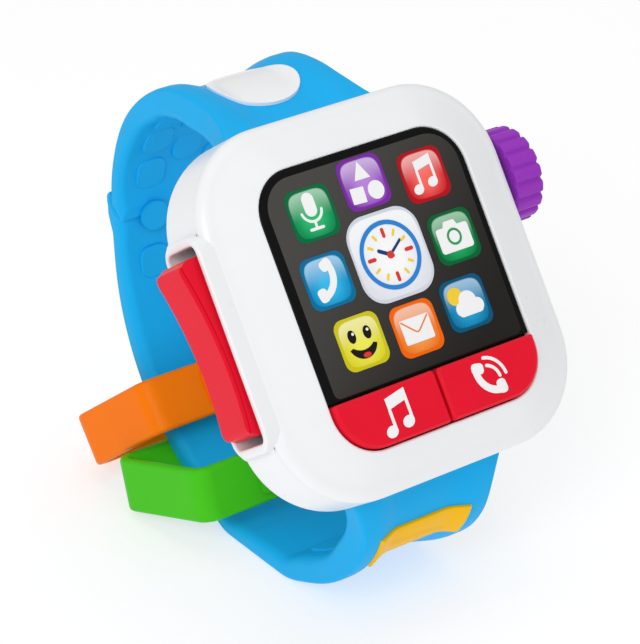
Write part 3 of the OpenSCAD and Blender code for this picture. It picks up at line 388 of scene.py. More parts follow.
def strapPlace(t):
    # place of the outer edge and the way inwards, both as depth and height of the dial
    i = min(int(t), lastStation - 1)
    s = t - i
    length = chord(i).length
    place = ((2 * s**3 - 3 * s**2 + 1) * stations[i] + (s**3 - 2 * s**2 + s) * length * headings[i]
             + (3 * s**2 - 2 * s**3) * stations[i + 1] + (s**3 - s**2) * length * headings[i + 1])
    ahead = ((6 * s**2 - 6 * s) * (stations[i] - stations[i + 1]) + (3 * s**2 - 4 * s + 1) * length * headings[i]
             + (3 * s**2 - 2 * s) * length * headings[i + 1]).normalized()
    return place, Vector((ahead.y, -ahead.x)), ahead


def strapShare(t, column):
    i = min(int(t), lastStation - 1)
    s = t - i
    ease = 3 * s**2 - 2 * s**3
    return strap["stations"][i][column] * (1 - ease) + strap["stations"][i + 1][column] * ease


def strapPoint(t, x, inward):
    place, inside, _ = strapPlace(t)
    at = place + inside * inward
    return Vector((x, at.y, -at.x))


def smooth(value, low, high):
    share = max(0.0, min(1.0, (value - low) / (high - low)))
    return share * share * (3 - 2 * share)


def dishDepth(t, x):
    return strap["dish"] * strapShare(t, 3) * (1 - smooth(abs(x), strap["dishInner"], strap["dishOuter"]))


def strapThickness(t):
    return strap["thickness"] * strapShare(t, 2)


def strapHalf(t):
    # half width, with the flare where the strap meets the case
    place = strapPlace(t)[0]
    if t < strap["flareTo"]:
        way = (place - stations[0]).dot(headings[0])
    elif t > strap["flareFrom"]:
        way = (stations[-1] - place).dot(headings[-1])
    else:
        return strap["width"] / 2
    left = max(0.0, 1 - max(0.0, way) / strap["flare"])
    return strap["width"] / 2 + (strap["rootWidth"] - strap["width"]) / 2 * left**2


def strapSection(t, near, far, count=28):
    # closed outline across the strap between two depths, with the dish on its outer side
    half, span = strapHalf(t), far - near
    outer = min(strap["outerRound"], span * strap["outerShare"])
    inner = min(strap["innerRound"], span * strap["innerShare"])
    outerX, innerX = half - outer, half - inner
    across = [-outerX + 2 * outerX * k / count for k in range(count + 1)]
    return ([(x, near + dishDepth(t, x)) for x in across] + arc(outerX, near + outer, outer, -72, 0, 4)
            + arc(innerX, far - inner, inner, 0, 90, 6) + [(half * share, far) for share in strap["innerFlat"]]
            + arc(-innerX, far - inner, inner, 90, 180, 6) + arc(-outerX, near + outer, outer, 180, 252, 4))


def strapLoft(times, rangeAt):
    sections = [strapSection(t, *rangeAt(t)) for t in times]
    count = len(sections[0])

    def pointAt(column, row):
        x, inward = sections[row][column % count]
        return strapPoint(times[row], x, inward)

    return gridLoft(count, len(times) - 1, pointAt)


def timesBetween(start, end, perStation=8):
    count = math.ceil((end - start) * perStation)
    return [start + (end - start) * k / count for k in range(count + 1)]


# Lap of the two halves: places in stations along the strap, and sizes through it in millimetres
lap = {
    "scarfFrom": 6.56, "scarfTo": 6.72, "slit": 0.1, "foot": 0.1, "step": 0.01, "rows": 24,
    "ledgeFrom": 6.42, "ledgeEase": 0.05, "ledge": 0.8,
    "bumpFrom": 6.4, "bumpTo": 7.02, "bumpLead": 0.02, "bumpRise": 0.08, "bumpFall": 0.3, "bump": 1.6,
}


def scarfDepth(t):
    # the two halves meet in a slant that runs from the outer edge to the inner one
    share = (t - lap["scarfFrom"]) / (lap["scarfTo"] - lap["scarfFrom"])
    return strapThickness(t) * max(0.0, min(1.0, share))


def upperRange(t):
    near = scarfDepth(t) + lap["slit"] if t > lap["scarfFrom"] else 0
    return near, strapThickness(t) + lap["ledge"] * smooth(t, lap["ledgeFrom"], lap["ledgeFrom"] + lap["ledgeEase"])


def lowerRange(t):
    rise = smooth(t, lap["bumpFrom"] - lap["bumpLead"], lap["bumpFrom"] + lap["bumpRise"])
    fall = smooth(t, lap["bumpTo"] - lap["bumpFall"], lap["bumpTo"])
    near = -lap["bump"] * (1 - fall) * rise
    if t < lap["scarfTo"]:
        return near, max(scarfDepth(t), lap["foot"]) - lap["slit"]
    return near, strapThickness(t)


upperStrap = strapLoft(timesBetween(0, lap["scarfFrom"])
                       + timesBetween(lap["scarfFrom"] + lap["step"], lap["scarfTo"], lap["rows"]), upperRange)
lowerStrap = strapLoft(timesBetween(lap["bumpFrom"], lap["scarfTo"], lap["rows"])
                       + timesBetween(lap["scarfTo"] + lap["step"], lastStation), lowerRange)

# Raised pads on the inner side of the strap
pads = {"size": 7.8, "corner": 2.6, "proud": 0.6, "edge": 0.35, "side": 9.2, "shift": 0.36, "lapFrom": 6, "lapTo": 7,
        "upper": (2.9, 3.75, 4.6, 5.36, 6.1), "lower": (7.42, 14.0, 14.8, 15.6, 16.4)}


def padOn(t, x):
    place, inside, ahead = strapPlace(t)
    pad = cutPlate(roundBox(pads["size"], pads["size"], pads["corner"]), -pads["proud"], pads["proud"])
    softEdges(pad, pads["edge"], 3, 50)
    at = strapPoint(t, x, strapThickness(t))
    along = Vector((0, ahead.y, -ahead.x))
    out = Vector((0, inside.y, -inside.x))
    side = along.cross(out)
    pad.data.transform(Matrix.Translation(at) @ axes(side, along, out))
    return pad


def padsAt(times):
    # pairs side by side, each with one in the middle a little further on, except where the halves overlap
    return ([padOn(t, x * pads["side"]) for t in times for x in (-1, 1)]
            + [padOn(t + pads["shift"], 0) for t in times if not pads["lapFrom"] < t < pads["lapTo"]])


upperStrap = joined("upperStrap", [upperStrap] + padsAt(pads["upper"]))
finishPiece(upperStrap, "upperStrap", strapPlastic, replaces=("upper_strap",))
lowerStrap = joined("lowerStrap", [lowerStrap] + padsAt(pads["lower"]))
finishPiece(lowerStrap, "lowerStrap", strapPlastic, replaces=("lower_strap",))
print("strap made")

# Bare oval badge in the upper dish, and the inlay in the lower one
badge = {"at": 2.03, "width": 20.4, "length": 21.4, "proud": 0.8, "crown": 0.35, "sides": 72, "crownRows": 11,
         "rim": ((1, 0), (1.018, 0.3), (1.022, 0.25), (1.022, 2.0))}
inlay = {"from": 15.88, "to": 17.0, "width": 26.6, "proud": 0.75, "sunk": 1.0, "edge": 0.3, "columns": 24, "rows": 10}


def timeAlong(start, distance, step=0.004):
    # station reached after a way along the outer edge
    t, way = start, 0.0
    sign = 1 if distance > 0 else -1
    while way < abs(distance):
        here, there = strapPlace(t)[0], strapPlace(t + sign * step)[0]
        way += (there - here).length
        t += sign * step
    return t


badgeTimes = {}


def badgePoint(column, row):
    # a low dome, then the rows of its rim, each with its share of the width and its drop into the strap
    turn = 2 * math.pi * (column % badge["sides"]) / badge["sides"]
    share = min(1.0, row / badge["crownRows"])
    widen, drop = badge["rim"][max(0, row - badge["crownRows"])]
    x = badge["width"] / 2 * share * math.cos(turn) * widen
    way = round(badge["length"] / 2 * share * math.sin(turn), 3)
    if way not in badgeTimes:
        badgeTimes[way] = timeAlong(badge["at"], way) if way else badge["at"]
    t = badgeTimes[way]
    lift = badge["proud"] + badge["crown"] * (1 - share**2)
    return strapPoint(t, x, dishDepth(t, x) - lift + drop)


badgePiece = gridLoft(badge["sides"], badge["crownRows"] + len(badge["rim"]) - 1, badgePoint)
finishPiece(badgePiece, "bareBadge", badgePlastic, replaces=("strap_badge",))
inlayTimes = timesBetween(inlay["from"], inlay["to"], inlay["rows"])


def inlayPoint(column, row):
    # the outermost rows and columns lie inside the strap
    x = (-1 + 2 * column / inlay["columns"]) * inlay["width"] / 2
    edge = row in (0, len(inlayTimes) + 1) or column in (0, inlay["columns"])
    t = inlayTimes[max(0, min(len(inlayTimes) - 1, row - 1))]
    return strapPoint(t, x, dishDepth(t, x) + (inlay["sunk"] if edge else -inlay["proud"]))


inlayPiece = gridLoft(inlay["columns"], len(inlayTimes) + 1, inlayPoint)
softEdges(inlayPiece, inlay["edge"], 3, 50)
finishPiece(inlayPiece, "dishInlay", yellowPlastic, replaces=("strap_inlay",))
print("badge and inlay made")

# Loose loop rings
ring = {
    "height": 12.8, "depth": 32, "width": 56, "flare": 3, "wall": 2.6,
    "corner": 4.5, "cornerSteps": 10, "edge": 0.9, "edgeSteps": 4,
    "greenAt": 9.86, "greenTilt": -17.5, "orangeTilt": 4, "orangeLead": 0.49, "orangeSlip": 2.2, "play": 0.35,
    "panelWidth": 24, "panelHeight": 8.4, "panelProud": 0.35, "panelCorner": 1.2, "panelEdge": 0.2,
}


def ringBack(tilt):
    return Vector((math.cos(math.radians(tilt)), -math.sin(math.radians(tilt))))


def ringUp(tilt):
    return Vector((math.sin(math.radians(tilt)), math.cos(math.radians(tilt))))


greenEdge, greenInside, _ = strapPlace(ring["greenAt"])
greenFoot = (greenEdge - greenInside * ring["play"] - ringBack(ring["greenTilt"]) * (ring["depth"] - ring["wall"])
             - ringUp(ring["greenTilt"]) * ring["height"])
greenCrest = greenFoot + ringBack(ring["greenTilt"]) * ring["depth"] + ringUp(ring["greenTilt"]) * ring["height"]
orangeFoot = (greenCrest + ringUp(ring["orangeTilt"]) * ring["play"]
              - ringBack(ring["orangeTilt"]) * ring["orangeLead"] * ring["depth"])


def ringCorners():
    # centre and first direction of each rounded corner of the outer outline, seen from above
    slope = math.atan2(ring["flare"], ring["depth"])
    r, front, back = ring["corner"], ring["width"] / 2, ring["width"] / 2 + ring["flare"]
    lean = math.degrees(slope)
    frontX = front - r * (1 + math.sin(slope)) / math.cos(slope) + r * math.tan(slope)
    backX = back - r * (1 - math.sin(slope)) / math.cos(slope) - r * math.tan(slope)
    return [(Vector((frontX, r)), -90, -lean), (Vector((backX, ring["depth"] - r)), -lean, 90),
            (Vector((-backX, ring["depth"] - r)), 90, 180 + lean), (Vector((-frontX, r)), 180 + lean, 270)]


def ringLoop(foot, tilt, slip):
    steps, rounds, e = ring["cornerSteps"], ring["edgeSteps"], ring["edge"]
    far, high = ring["wall"] - e, ring["height"] - e
    path = [(centre, math.radians(a + (b - a) * k / steps)) for centre, a, b in ringCorners() for k in range(steps + 1)]
    section = arc(e, e, e, 180, 270, rounds) + arc(far, e, e, 270, 360, rounds)
    section += arc(far, high, e, 0, 90, rounds) + arc(e, high, e, 90, 180, rounds)
    back, up = ringBack(tilt), ringUp(tilt)

    def pointAt(column, row):
        centre, turn = path[row % len(path)]
        inset, rise = section[column % len(section)]
        x, v = centre + Vector((math.cos(turn), math.sin(turn))) * (ring["corner"] - inset)
        at = foot + back * v + up * rise
        return Vector((x + slip, at.y, -at.x))

    loop = gridLoft(len(section), len(path), pointAt, capped=False)
    panel = cutPlate(roundBox(ring["panelWidth"], ring["panelHeight"], ring["panelCorner"]), 0, 2 * ring["panelProud"])
    softEdges(panel, ring["panelEdge"], 2, 50)
    middle = foot - back * ring["panelProud"] + up * ring["height"] / 2
    place = Matrix.Translation((slip, middle.y, -middle.x)) @ axes((1, 0, 0), (0, up.y, -up.x), (0, -back.y, back.x))
    panel.data.transform(place @ Matrix.Translation((0, 0, -ring["panelProud"])))
    return joined("loop", [loop, panel])


finishPiece(ringLoop(greenFoot, ring["greenTilt"], 0), "greenLoop", greenPlastic,
            "green_ring", ("green_ring",))
finishPiece(ringLoop(orangeFoot, ring["orangeTilt"], ring["orangeSlip"]), "orangeLoop", orangePlastic,
            "orange_ring", ("orange_ring",))
print("rings made")

# Front housing: a border that slopes away from the window to a crease, then a rounded shoulder down to the seam
front = {
    "lip": ((0, -case["wall"]), (0, -0.6), (0.05, -0.28), (0.2, -0.08), (0.5, 0.0)), "rows": 8, "bow": 1.08,
    "shoulderTurn": 22, "seamRound": 0.4, "seamGap": 0.05, "step": 0.6, "creaseWall": (1.4, 2.0), "windowWall": 1.5,
    "cutWidth": 12.5, "cutLength": 43.8, "cutCorner": 1.8, "cutIn": 6, "cutOut": 4,
}
windowTop = case["windowHeight"] / 2 - case["windowDrop"]
windowBottom = windowTop - case["windowHeight"]
splitUp = windowBottom + case["buttonHeight"]


def frameLoop(half, top, bottom, radius, arcSteps=14, edgeSteps=6):
    # rounded outline that starts on the right and runs over the top, with points along its straight sides
    corners = cornered(-half, half, bottom, top, (radius,) * 4, (arcSteps,) * 4)
    points = []
    for k, (ax, ay) in enumerate(corners):
        points.append((ax, ay))
        if k % (arcSteps + 1) == arcSteps:
            bx, by = corners[(k + 1) % len(corners)]
            points += [(ax + (bx - ax) * i / edgeSteps, ay + (by - ay) * i / edgeSteps) for i in range(1, edgeSteps)]
    return points


def windowLoop(grow):
    return frameLoop(case["windowWidth"] / 2 + grow, windowTop + grow, windowBottom - grow, case["windowRadius"] + grow)


def caseLoop(inset):
    half, top = case["width"] / 2 - inset, case["height"] / 2 - inset
    return frameLoop(half, top, -top, case["cornerRadius"] - inset)


def blended(first, second, share):
    return [(ax + (bx - ax) * share, ay + (by - ay) * share) for (ax, ay), (bx, by) in zip(first, second)]


wall, crease, depth, seam = case["wall"], case["creaseIn"], case["creaseDepth"], case["seam"]
rows, step, creaseWall = front["rows"], front["step"], front["creaseWall"]
shellLoops = [(windowLoop(grow), level) for grow, level in front["lip"]]
lipLoop, creaseLoop = shellLoops[-1][0], caseLoop(crease)
shellLoops += [(blended(lipLoop, creaseLoop, k / rows), -depth * (k / rows)**front["bow"]) for k in range(1, rows)]
firstTurn = front["shoulderTurn"]
firstSin, firstCos = math.sin(math.radians(firstTurn)), math.cos(math.radians(firstTurn))
for k in range(rows + 1):
    way = math.radians(firstTurn + (90 - firstTurn) * k / rows)
    inset = crease * (1 - (math.sin(way) - firstSin) / (1 - firstSin))
    level = -depth - (seam - front["seamRound"] - depth) * (firstCos - math.cos(way)) / firstCos
    shellLoops.append((caseLoop(inset), level))
shellLoops += [(caseLoop(0), front["seamGap"] - seam), (caseLoop(wall), front["seamGap"] - seam),
               (caseLoop(wall + step), step - seam), (caseLoop(crease + creaseWall[0]), -depth - creaseWall[1]),
               (windowLoop(front["windowWall"]), -wall - step)]


def shellPoint(column, row):
    loop, level = shellLoops[column % len(shellLoops)]
    return Vector((*loop[row % len(loop)], level))


shell = gridLoft(len(shellLoops), len(lipLoop), shellPoint, capped=False)
block = cutPlate(roundBox(front["cutWidth"], front["cutLength"], front["cutCorner"], count=10),
                 -wall - front["cutIn"], front["cutOut"])
block.data.transform(leftFace)
withModifier(shell, "BOOLEAN", object=block, operation="DIFFERENCE", solver="EXACT")
makeActive(block)
bpy.ops.object.delete()
finishPiece(shell, "frontShell", casePlastic, replaces=("front_housing",), angle=32)
print("front shell made")

# The two buttons under the display
button = {"gap": 0.3, "splitGap": 0.05, "slope": 1.5, "edge": 0.3, "floor": -2.4, "outerRound": 0.6, "innerRound": 0.8,
          "markSunk": 0.05, "markProud": 0.08}


def buttonOutline(side):
    # the window's corner cuts the outer lower corner; the other three are small
    gap, outer, inner = button["gap"], button["outerRound"], button["innerRound"]
    right, left = case["windowWidth"] / 2 - gap, case["buttonSplit"] / 2 + button["splitGap"]
    low, high = windowBottom + gap, splitUp - gap
    r = case["windowRadius"] - gap
    points = arc(right - r, low + r, r, 270, 360, 20) + arc(right - outer, high - outer, outer, 0, 90, 4)
    points += arc(left + inner, high - inner, inner, 90, 180, 4) + arc(left + inner, low + inner, inner, 180, 270, 4)
    return [(side * x, y) for x, y in points][::side]


def pushButton(side, name, body, node):
    plate = cutPlate(buttonOutline(side), button["floor"], case["buttonProud"])
    softEdges(plate, button["slope"], 1, 50)
    softEdges(plate, button["edge"], 3, 30)
    return finishPiece(plate, name, redPlastic, body, (node,))


pushButton(-1, "musicKey", "music_button", "music_button")
pushButton(1, "phoneKey", "phone_button", "phone_button")
print("buttons made")

# Rocker with a hollow outer side, a shadow line under its outer face, and its raised frame
rocker = {
    "length": 39.2, "width": 10.5, "proud": 4.3, "hollow": 1.9, "corner": 3, "body": 5, "under": 1.5, "steps": 20,
    "face": 0.9, "faceEdge": 0.3, "line": 0.32, "lineIn": 0.3, "underEdge": 0.12, "nearRoom": 0.02, "farRoom": 0.2,
    "pin": 1.5, "pinLength": 14.2,
    "rimLength": 47.6, "rimWidth": 14.9, "rimProud": 2.2, "rimIn": 5.4, "rimCorner": 4.2,
    "rimShift": 0.2, "rimEdge": 0.58, "slotLength": 43.4, "slotWidth": 12.1, "slotCorner": 1.6,
    "flangeLength": 48.66, "flangeWidth": 15.05, "flangeShift": -2.2, "flangeFront": 0.2, "flangeBack": 3.4,
    "flangeHole": 0.6, "flangeHoleCorner": 1.8, "flangeLift": 0.3, "flangeSunk": 0.02,
}


def rockerOutline(start, end, shrink=0.0):
    # strip between two depths under the hollow outer side, cut short where the rounded ends leave it no room
    half = rocker["length"] / 2 - shrink
    corner, sag, steps = rocker["corner"], rocker["hollow"], rocker["steps"]
    room = corner - math.sqrt(max(0.0, corner**2 - max(0.0, corner - end)**2)) if end < corner else 0.0
    radius = ((rocker["length"] / 2)**2 + sag**2) / (2 * sag)

    def outer(y):
        return caseSide - rocker["proud"] - sag + sag - (radius - math.sqrt(radius**2 - y**2))

    def side(depth, way, short):
        points = []
        for k in range(2 * steps + 1):
            y = way * (half - short) * (1 - k / steps)
            over = max(0.0, abs(y) - (half - corner))
            cut = corner - math.sqrt(max(0.0, corner**2 - over**2)) if depth < corner else 0
            points.append((outer(y) + max(depth, cut), y))
        return points

    return (side(start, 1, room + rocker["nearRoom"] if room else 0)
            + side(end, -1, room + rocker["farRoom"] if room else 0))


def rockerStrip(start, end, shrink=0.0):
    half = rocker["width"] / 2 - shrink
    return cutPlate(rockerOutline(start, end, shrink), -half, half)


rockerParts = [
    softEdges(rockerStrip(0, rocker["face"]), rocker["faceEdge"], 3, 50),
    rockerStrip(rocker["face"] / 2, rocker["body"], rocker["lineIn"]),
    softEdges(rockerStrip(rocker["face"] + rocker["line"], rocker["body"] + rocker["under"]),
              rocker["underEdge"], 2, 50),
]
rockerCap = joined("rockerCap", rockerParts)
pivot = Vector((caseSide + case["pivotIn"], 0, -case["rockerDepth"]))
rockerCap.data.transform(Matrix.Translation((0, 0, -case["rockerDepth"])))
rockerCap.data.transform(Matrix.Translation(pivot) @ Matrix.Rotation(math.radians(case["rockerTilt"]), 4, "Z")
                         @ Matrix.Translation(-pivot))
finishPiece(rockerCap, "rockerCap", redPlastic, "rocker", ("rocker",))


def ringPlate(outer, inner, low, high):
    # flat frame between two outlines of the same number of points
    count = len(outer)

    def pointAt(column, row):
        outline = (outer, outer, inner, inner)[column % 4]
        return Vector((*outline[row % count], (low, high, high, low)[column % 4]))

    return gridLoft(4, count, pointAt, capped=False)


# a raised rim round the slot, on a plate that is level with the side of the case
rimOutline = roundBox(rocker["rimWidth"], rocker["rimLength"], rocker["rimCorner"], rocker["rimShift"], 0, count=10)
slotOutline = roundBox(rocker["slotWidth"], rocker["slotLength"], rocker["slotCorner"], count=10)
rimRing = ringPlate(rimOutline, slotOutline, -rocker["rimIn"], rocker["rimProud"])
softEdges(rimRing, rocker["rimEdge"], 4, 50)


def sideOutline(width, length, front, back, shift):
    # box with its own corner radius towards the front and the back of the case
    return cornered(shift - width / 2, shift + width / 2, -length / 2, length / 2, (front, back, back, front), (10,) * 4)


hole, holeCorner = rocker["flangeHole"], rocker["flangeHoleCorner"]
flangeOutline = sideOutline(rocker["flangeWidth"], rocker["flangeLength"], rocker["flangeFront"], rocker["flangeBack"],
                            rocker["flangeShift"])
holeOutline = sideOutline(rocker["slotWidth"] + hole, rocker["slotLength"] + hole, holeCorner, holeCorner, 0)
flange = ringPlate(flangeOutline, holeOutline, -rocker["rimIn"] + rocker["flangeLift"], -rocker["flangeSunk"])
frameRing = joined("frameRing", [rimRing, flange])
frameRing.data.transform(leftFace)
finishPiece(frameRing, "rockerSurround", casePlastic, replaces=("rocker_frame",))
bpy.ops.mesh.primitive_cylinder_add(vertices=48, radius=rocker["pin"], depth=rocker["pinLength"], location=pivot)
finishPiece(bpy.context.object, "rockerAxle", steelPlain, replaces=("rocker_pin",))
print("rocker made")

# Crown with rounded lobes
crown = {"radius": 10.9, "thickness": 7.4, "gap": 1.8, "edge": 1.1, "hub": 5.5, "hubIn": 0.3,
         "lobes": 18, "lobeSteps": 10, "groove": 0.85, "grooveFrom": 0.55, "grooveWidth": 0.45, "groovePower": 1.2}
crownCount = crown["lobes"] * crown["lobeSteps"]


def lobeRadius(k):
    phase = abs(((k / crown["lobeSteps"]) % 1) - 0.5) * 2
    share = max(0.0, phase - crown["grooveFrom"])**crown["groovePower"]
    return crown["radius"] - crown["groove"] * share / crown["grooveWidth"]**crown["groovePower"]


crownTurns = [2 * math.pi * k / crownCount for k in range(crownCount)]
crownRing = [(lobeRadius(k) * math.cos(turn), lobeRadius(k) * math.sin(turn)) for k, turn in enumerate(crownTurns)]
crownWheel = cutPlate(crownRing, 0, crown["thickness"])
softEdges(crownWheel, crown["edge"], 4, 60)
bpy.ops.mesh.primitive_cylinder_add(vertices=64, radius=crown["hub"], depth=crown["gap"],
                                    location=(0, 0, crown["hubIn"] - crown["gap"] / 2))
crownPiece = joined("crownPiece", [crownWheel, bpy.context.object])
crownPlace = Matrix.Translation((case["width"] / 2 + crown["gap"], case["crownRise"], -case["crownDepth"]))
crownPiece.data.transform(crownPlace @ axes((0, 0, -1), (0, 1, 0), (1, 0, 0)))
finishPiece(crownPiece, "ribbedCrown", purplePlastic, "crown", ("crown",), angle=50)
print("crown made")

# Dial: a black window with a dark panel, and picture tiles printed on it
dial = {"window": -0.3, "gap": 0.15, "edge": 0.25, "sunk": 0.2,
        "outer": (11.4, 11.4, 2.3, 8), "middle": (18.8, 19.3, 5.4, 12), "tileThick": 0.05, "tileProud": 0.06,
        "markThick": 0.05, "markSunk": 0.02, "markStep": 0.004, "ringProud": 0.08,
        "panelLeft": 2.4, "panelRight": 1.6, "panelTop": 1.8, "panelLow": 0.6, "panelCorner": 7.4, "panelFoot": 1.5,
        "panelProud": 0.03}
tiles = {
    "micTile": (-14.55, 19.92, "04884e", "2cbf76", "066c40"),
    "shapesTile": (0.22, 22.85, "8a3cb4", "bd84e0", "7c2ca4"),
    "notesTile": (15.43, 20.4, "d01a28", "ff6c62", "b4101c"),
    "callTile": (-16.62, 5.5, "058cc4", "34bcf0", "04709e"),
    "cameraTile": (17.32, 5.75, "057f43", "22b465", "046436"),
    "smileTile": (-13.87, -8.84, "dfd626", "f3ef58", "cfc61a"),
    "letterTile": (0.2, -10.12, "f47716", "f9a458", "f56806"),
    "weatherTile": (14.29, -8.61, "0574a4", "24a8dc", "04587c"),
    "clockTile": (0.34, 6.46, "e3e6ee", "ffffff", "d3d8e4"),
}
tileLook = {"glowDrop": 0.9, "glow": (0.15, 1.05), "white": 0.45, "bend": 0.03, "sheen": (-0.15, 0.95), "gloss": 0.8,
            "rim": (0.9, 0.55), "dots": 0.3, "bump": 0.02, "bumpDepth": 0.05, "roughness": 0.25, "dotGloss": 0.05,
            "specular": 0.12}


def tileFinish(name, deep, bright, rim, cx, cy, half):
    # lighter in the middle, with a white sheen that fades down from the top edge, and a deeper rim
    finish, look = Finish(name), tileLook
    x = finish.along(rightWay, dialOrigin + rightWay * cx * mm)
    y = finish.along(upWay, dialOrigin + upWay * cy * mm)
    spread = (x * x + (y + look["glowDrop"]) * (y + look["glowDrop"])) ** 0.5
    glow = finish.ramp(spread, half * look["glow"][0], half * look["glow"][1])
    base = finish.mix(glow, colourOf(bright), colourOf(deep))
    sheen = tuple(look["white"] + (1 - look["white"]) * c for c in colourOf(bright)[:3]) + (1,)
    fade = finish.ramp(y + x * x * look["bend"], look["sheen"][0] * half, look["sheen"][1] * half)
    base = finish.mix(fade * look["gloss"], base, sheen)
    square, upright = x * x, y * y
    edge = finish.ramp((square * square + upright * upright) ** 0.25, half - look["rim"][0], half - look["rim"][1])
    base = finish.mix(edge, base, colourOf(rim))
    dots = finish.noise(look["dots"], 1)
    bump = finish.bump(look["bump"], look["bumpDepth"], dots)
    return finish.surface({"Base Color": base, "Roughness": look["roughness"] + look["dotGloss"] * dots, "Normal": bump,
                           "Specular IOR Level": look["specular"]})


# fall: the span over which the painted reflection lightens the panel, from its deep colour to its bright one
panelLook = {"deep": "24221f", "bright": "4a4845", "fall": (-26, 30), "speck": 0.4, "roughness": 0.35,
             "speckGloss": 0.08, "specular": 0.1}


def panelFinish(name):
    # dark film, made lighter towards its upper left by a painted reflection of the window over it
    finish, look = Finish(name), panelLook
    # painted reflection: the film's colour is mixed lighter towards the upper left
    fall = finish.ramp(finish.along((upWay - rightWay).normalized(), dialOrigin), *look["fall"])
    speck = finish.noise(look["speck"], 2)
    base = finish.mix(fall, colourOf(look["deep"]), colourOf(look["bright"]))
    return finish.surface({"Base Color": base, "Roughness": look["roughness"] + look["speckGloss"] * speck,
                           "Specular IOR Level": look["specular"]})


tileTop = dial["window"] + dial["tileProud"] + dial["tileThick"]
panelHalf = case["windowWidth"] / 2
panelLow, panelHigh = splitUp + dial["panelLow"], windowTop - dial["panelTop"]
panelLeft, panelRight = dial["panelLeft"] - panelHalf, panelHalf - dial["panelRight"]


def displayOutline(gap):
    # the window's outline above the buttons
    half, r = case["windowWidth"] / 2 - gap, case["windowRadius"] - gap
    top, foot = windowTop - gap, splitUp + gap
    arcs = arc(half - r, top - r, r, 0, 90, 16) + arc(r - half, top - r, r, 90, 180, 16)
    return [(half, foot)] + arcs + [(-half, foot)]


windowPlate = cutPlate(displayOutline(dial["gap"]), -case["wall"], dial["window"])
softEdges(windowPlate, dial["edge"], 3, 50)
finishPiece(windowPlate, "blackWindow", screenBlack, replaces=("display_window",))
topR, footR = dial["panelCorner"], dial["panelFoot"]
panelOutline = cornered(panelLeft, panelRight, panelLow, panelHigh, (topR, topR, footR, footR), (14, 14, 6, 6))
panel = cutPlate(panelOutline, dial["window"] - dial["sunk"], dial["window"] + dial["panelProud"])
finishPiece(panel, "darkPanel", panelFinish("panelFilmAndReflection"))
for tileName, (cx, cy, deep, bright, rim) in tiles.items():
    width, height, corner, steps = dial["middle" if tileName == "clockTile" else "outer"]
    plate = cutPlate(roundBox(width, height, corner, cx, cy, count=steps), dial["window"] - dial["sunk"], tileTop)
    finishPiece(plate, tileName, tileFinish(tileName + "Finish", deep, bright, rim, cx, cy, height / 2))


def scaled(points, size):
    return [(x * size, y * size) for x, y in points]


def mark(name, tile, outlines, material=printWhite, level=1, size=1.0):
    # flat marks on a tile, each given in millimetres from the tile's middle
    cx, cy = tiles[tile][:2]
    top = tileTop + level * dial["markThick"]
    parts = [cutPlate(moved(scaled(o, size), cx, cy), tileTop - dial["markSunk"], top + dial["markStep"] * k)
             for k, o in enumerate(outlines)]
    return finishPiece(joined(name, parts), name, material)


def markRing(name, tile, outer, inner, count, material):
    cx, cy = tiles[tile][:2]
    plate = ringPlate(moved(disc(0, 0, outer, count), cx, cy), moved(disc(0, 0, inner, count), cx, cy), tileTop,
                      tileTop + dial["ringProud"])
    return finishPiece(plate, name, material)


def inkFinish(name, code):
    return mouldedPlastic(name, code, 0.3, 0.03, 0.02, 0.5)


leafInk, inkBlack = inkFinish("leafInk", "2f9d5c"), inkFinish("inkBlack", "1c1918")
flapInk, sunInk = inkFinish("flapInk", "f08434"), inkFinish("sunInk", "f8d23c")
skyInk, coralInk = inkFinish("skyInk", "2f86d6"), inkFinish("coralInk", "e23c30")
navyInk = inkFinish("navyInk", "1d3c78")

mark("micMark", "micTile", [stroke([(0, 0.7), (0, 2.6)], 2.5), stroke(arc(0, 0.75, 2.15, 190, 350, 16), 0.5),
                            stroke([(0, -1.4), (0, -2.6)], 0.5), stroke([(-1.3, -2.75), (1.3, -2.75)], 0.55)], size=1.2)
mark("shapesMark", "shapesTile", [[(-1.7, 0.6), (1.7, 0.6), (0, 3.9)], roundBox(2.9, 2.9, 0.15, -2.0, -2.0, -3),
                                  disc(1.95, -1.9, 1.7)], size=1.2)


def beamedNotes(size):
    heads = [turned(disc(0, 0, 1.2, 30, 0.82), 20, x, y) for x, y in ((-1.75, -2.6), (1.95, -1.9))]
    stems = [[(x, low), (x + 0.58, low), (x + 0.58, high), (x, high)]
             for x, low, high in ((-1.2, -2.6, 2.6), (2.5, -1.9, 3.4))]
    beam = [(-1.2, 0.9), (3.08, 1.8), (3.08, 3.75), (-1.2, 2.9)]
    return [scaled(o, size) for o in heads + stems + [beam]]


def handset(size, turn):
    # a curved grip with a cup at each end
    grip = stroke(arc(3.1, 0, 4.3, 130, 230, 24), 1.45)
    cups = [roundBox(2.1, 2.7, 0.8, 0.75, 3.0, 38), roundBox(2.1, 2.7, 0.8, 0.75, -3.0, -38)]
    return [turned(scaled(o, size), turn) for o in [grip] + cups]


mark("notesMark", "notesTile", [moved(o, -0.5, 0.1) for o in beamedNotes(1.0)], size=1.1)
mark("callMark", "callTile", handset(1.12, 155))
mark("cameraMark", "cameraTile", [roundBox(7.0, 4.6, 0.6, 0, -0.3), [(-1.9, 1.7), (1.5, 1.7), (0.9, 3.0), (-1.3, 3.0)]],
     size=1.22)
markRing("cameraRing", "cameraTile", 1.9, 1.35, 40, leafInk)
mark("smileMark", "smileTile", [disc(-1.9, 1.5, 0.95, 24, 1.45), disc(1.9, 1.5, 0.95, 24, 1.45),
                                arc(0, 0.0, 3.5, 198, 342, 20) + arc(0, 2.2, 3.9, 310, 230, 14)], inkBlack, size=1.05)
mark("smileShine", "smileTile", [disc(-1.6, 2.1, 0.33, 16), disc(2.2, 2.1, 0.33, 16)], printWhite, 2)
mark("tongueMark", "smileTile", [disc(0.2, -2.95, 1.0, 24, 0.55)], coralInk, 2)
mark("letterMark", "letterTile", [roundBox(7.2, 5.2, 0.4, 0, -0.2)], size=1.05)
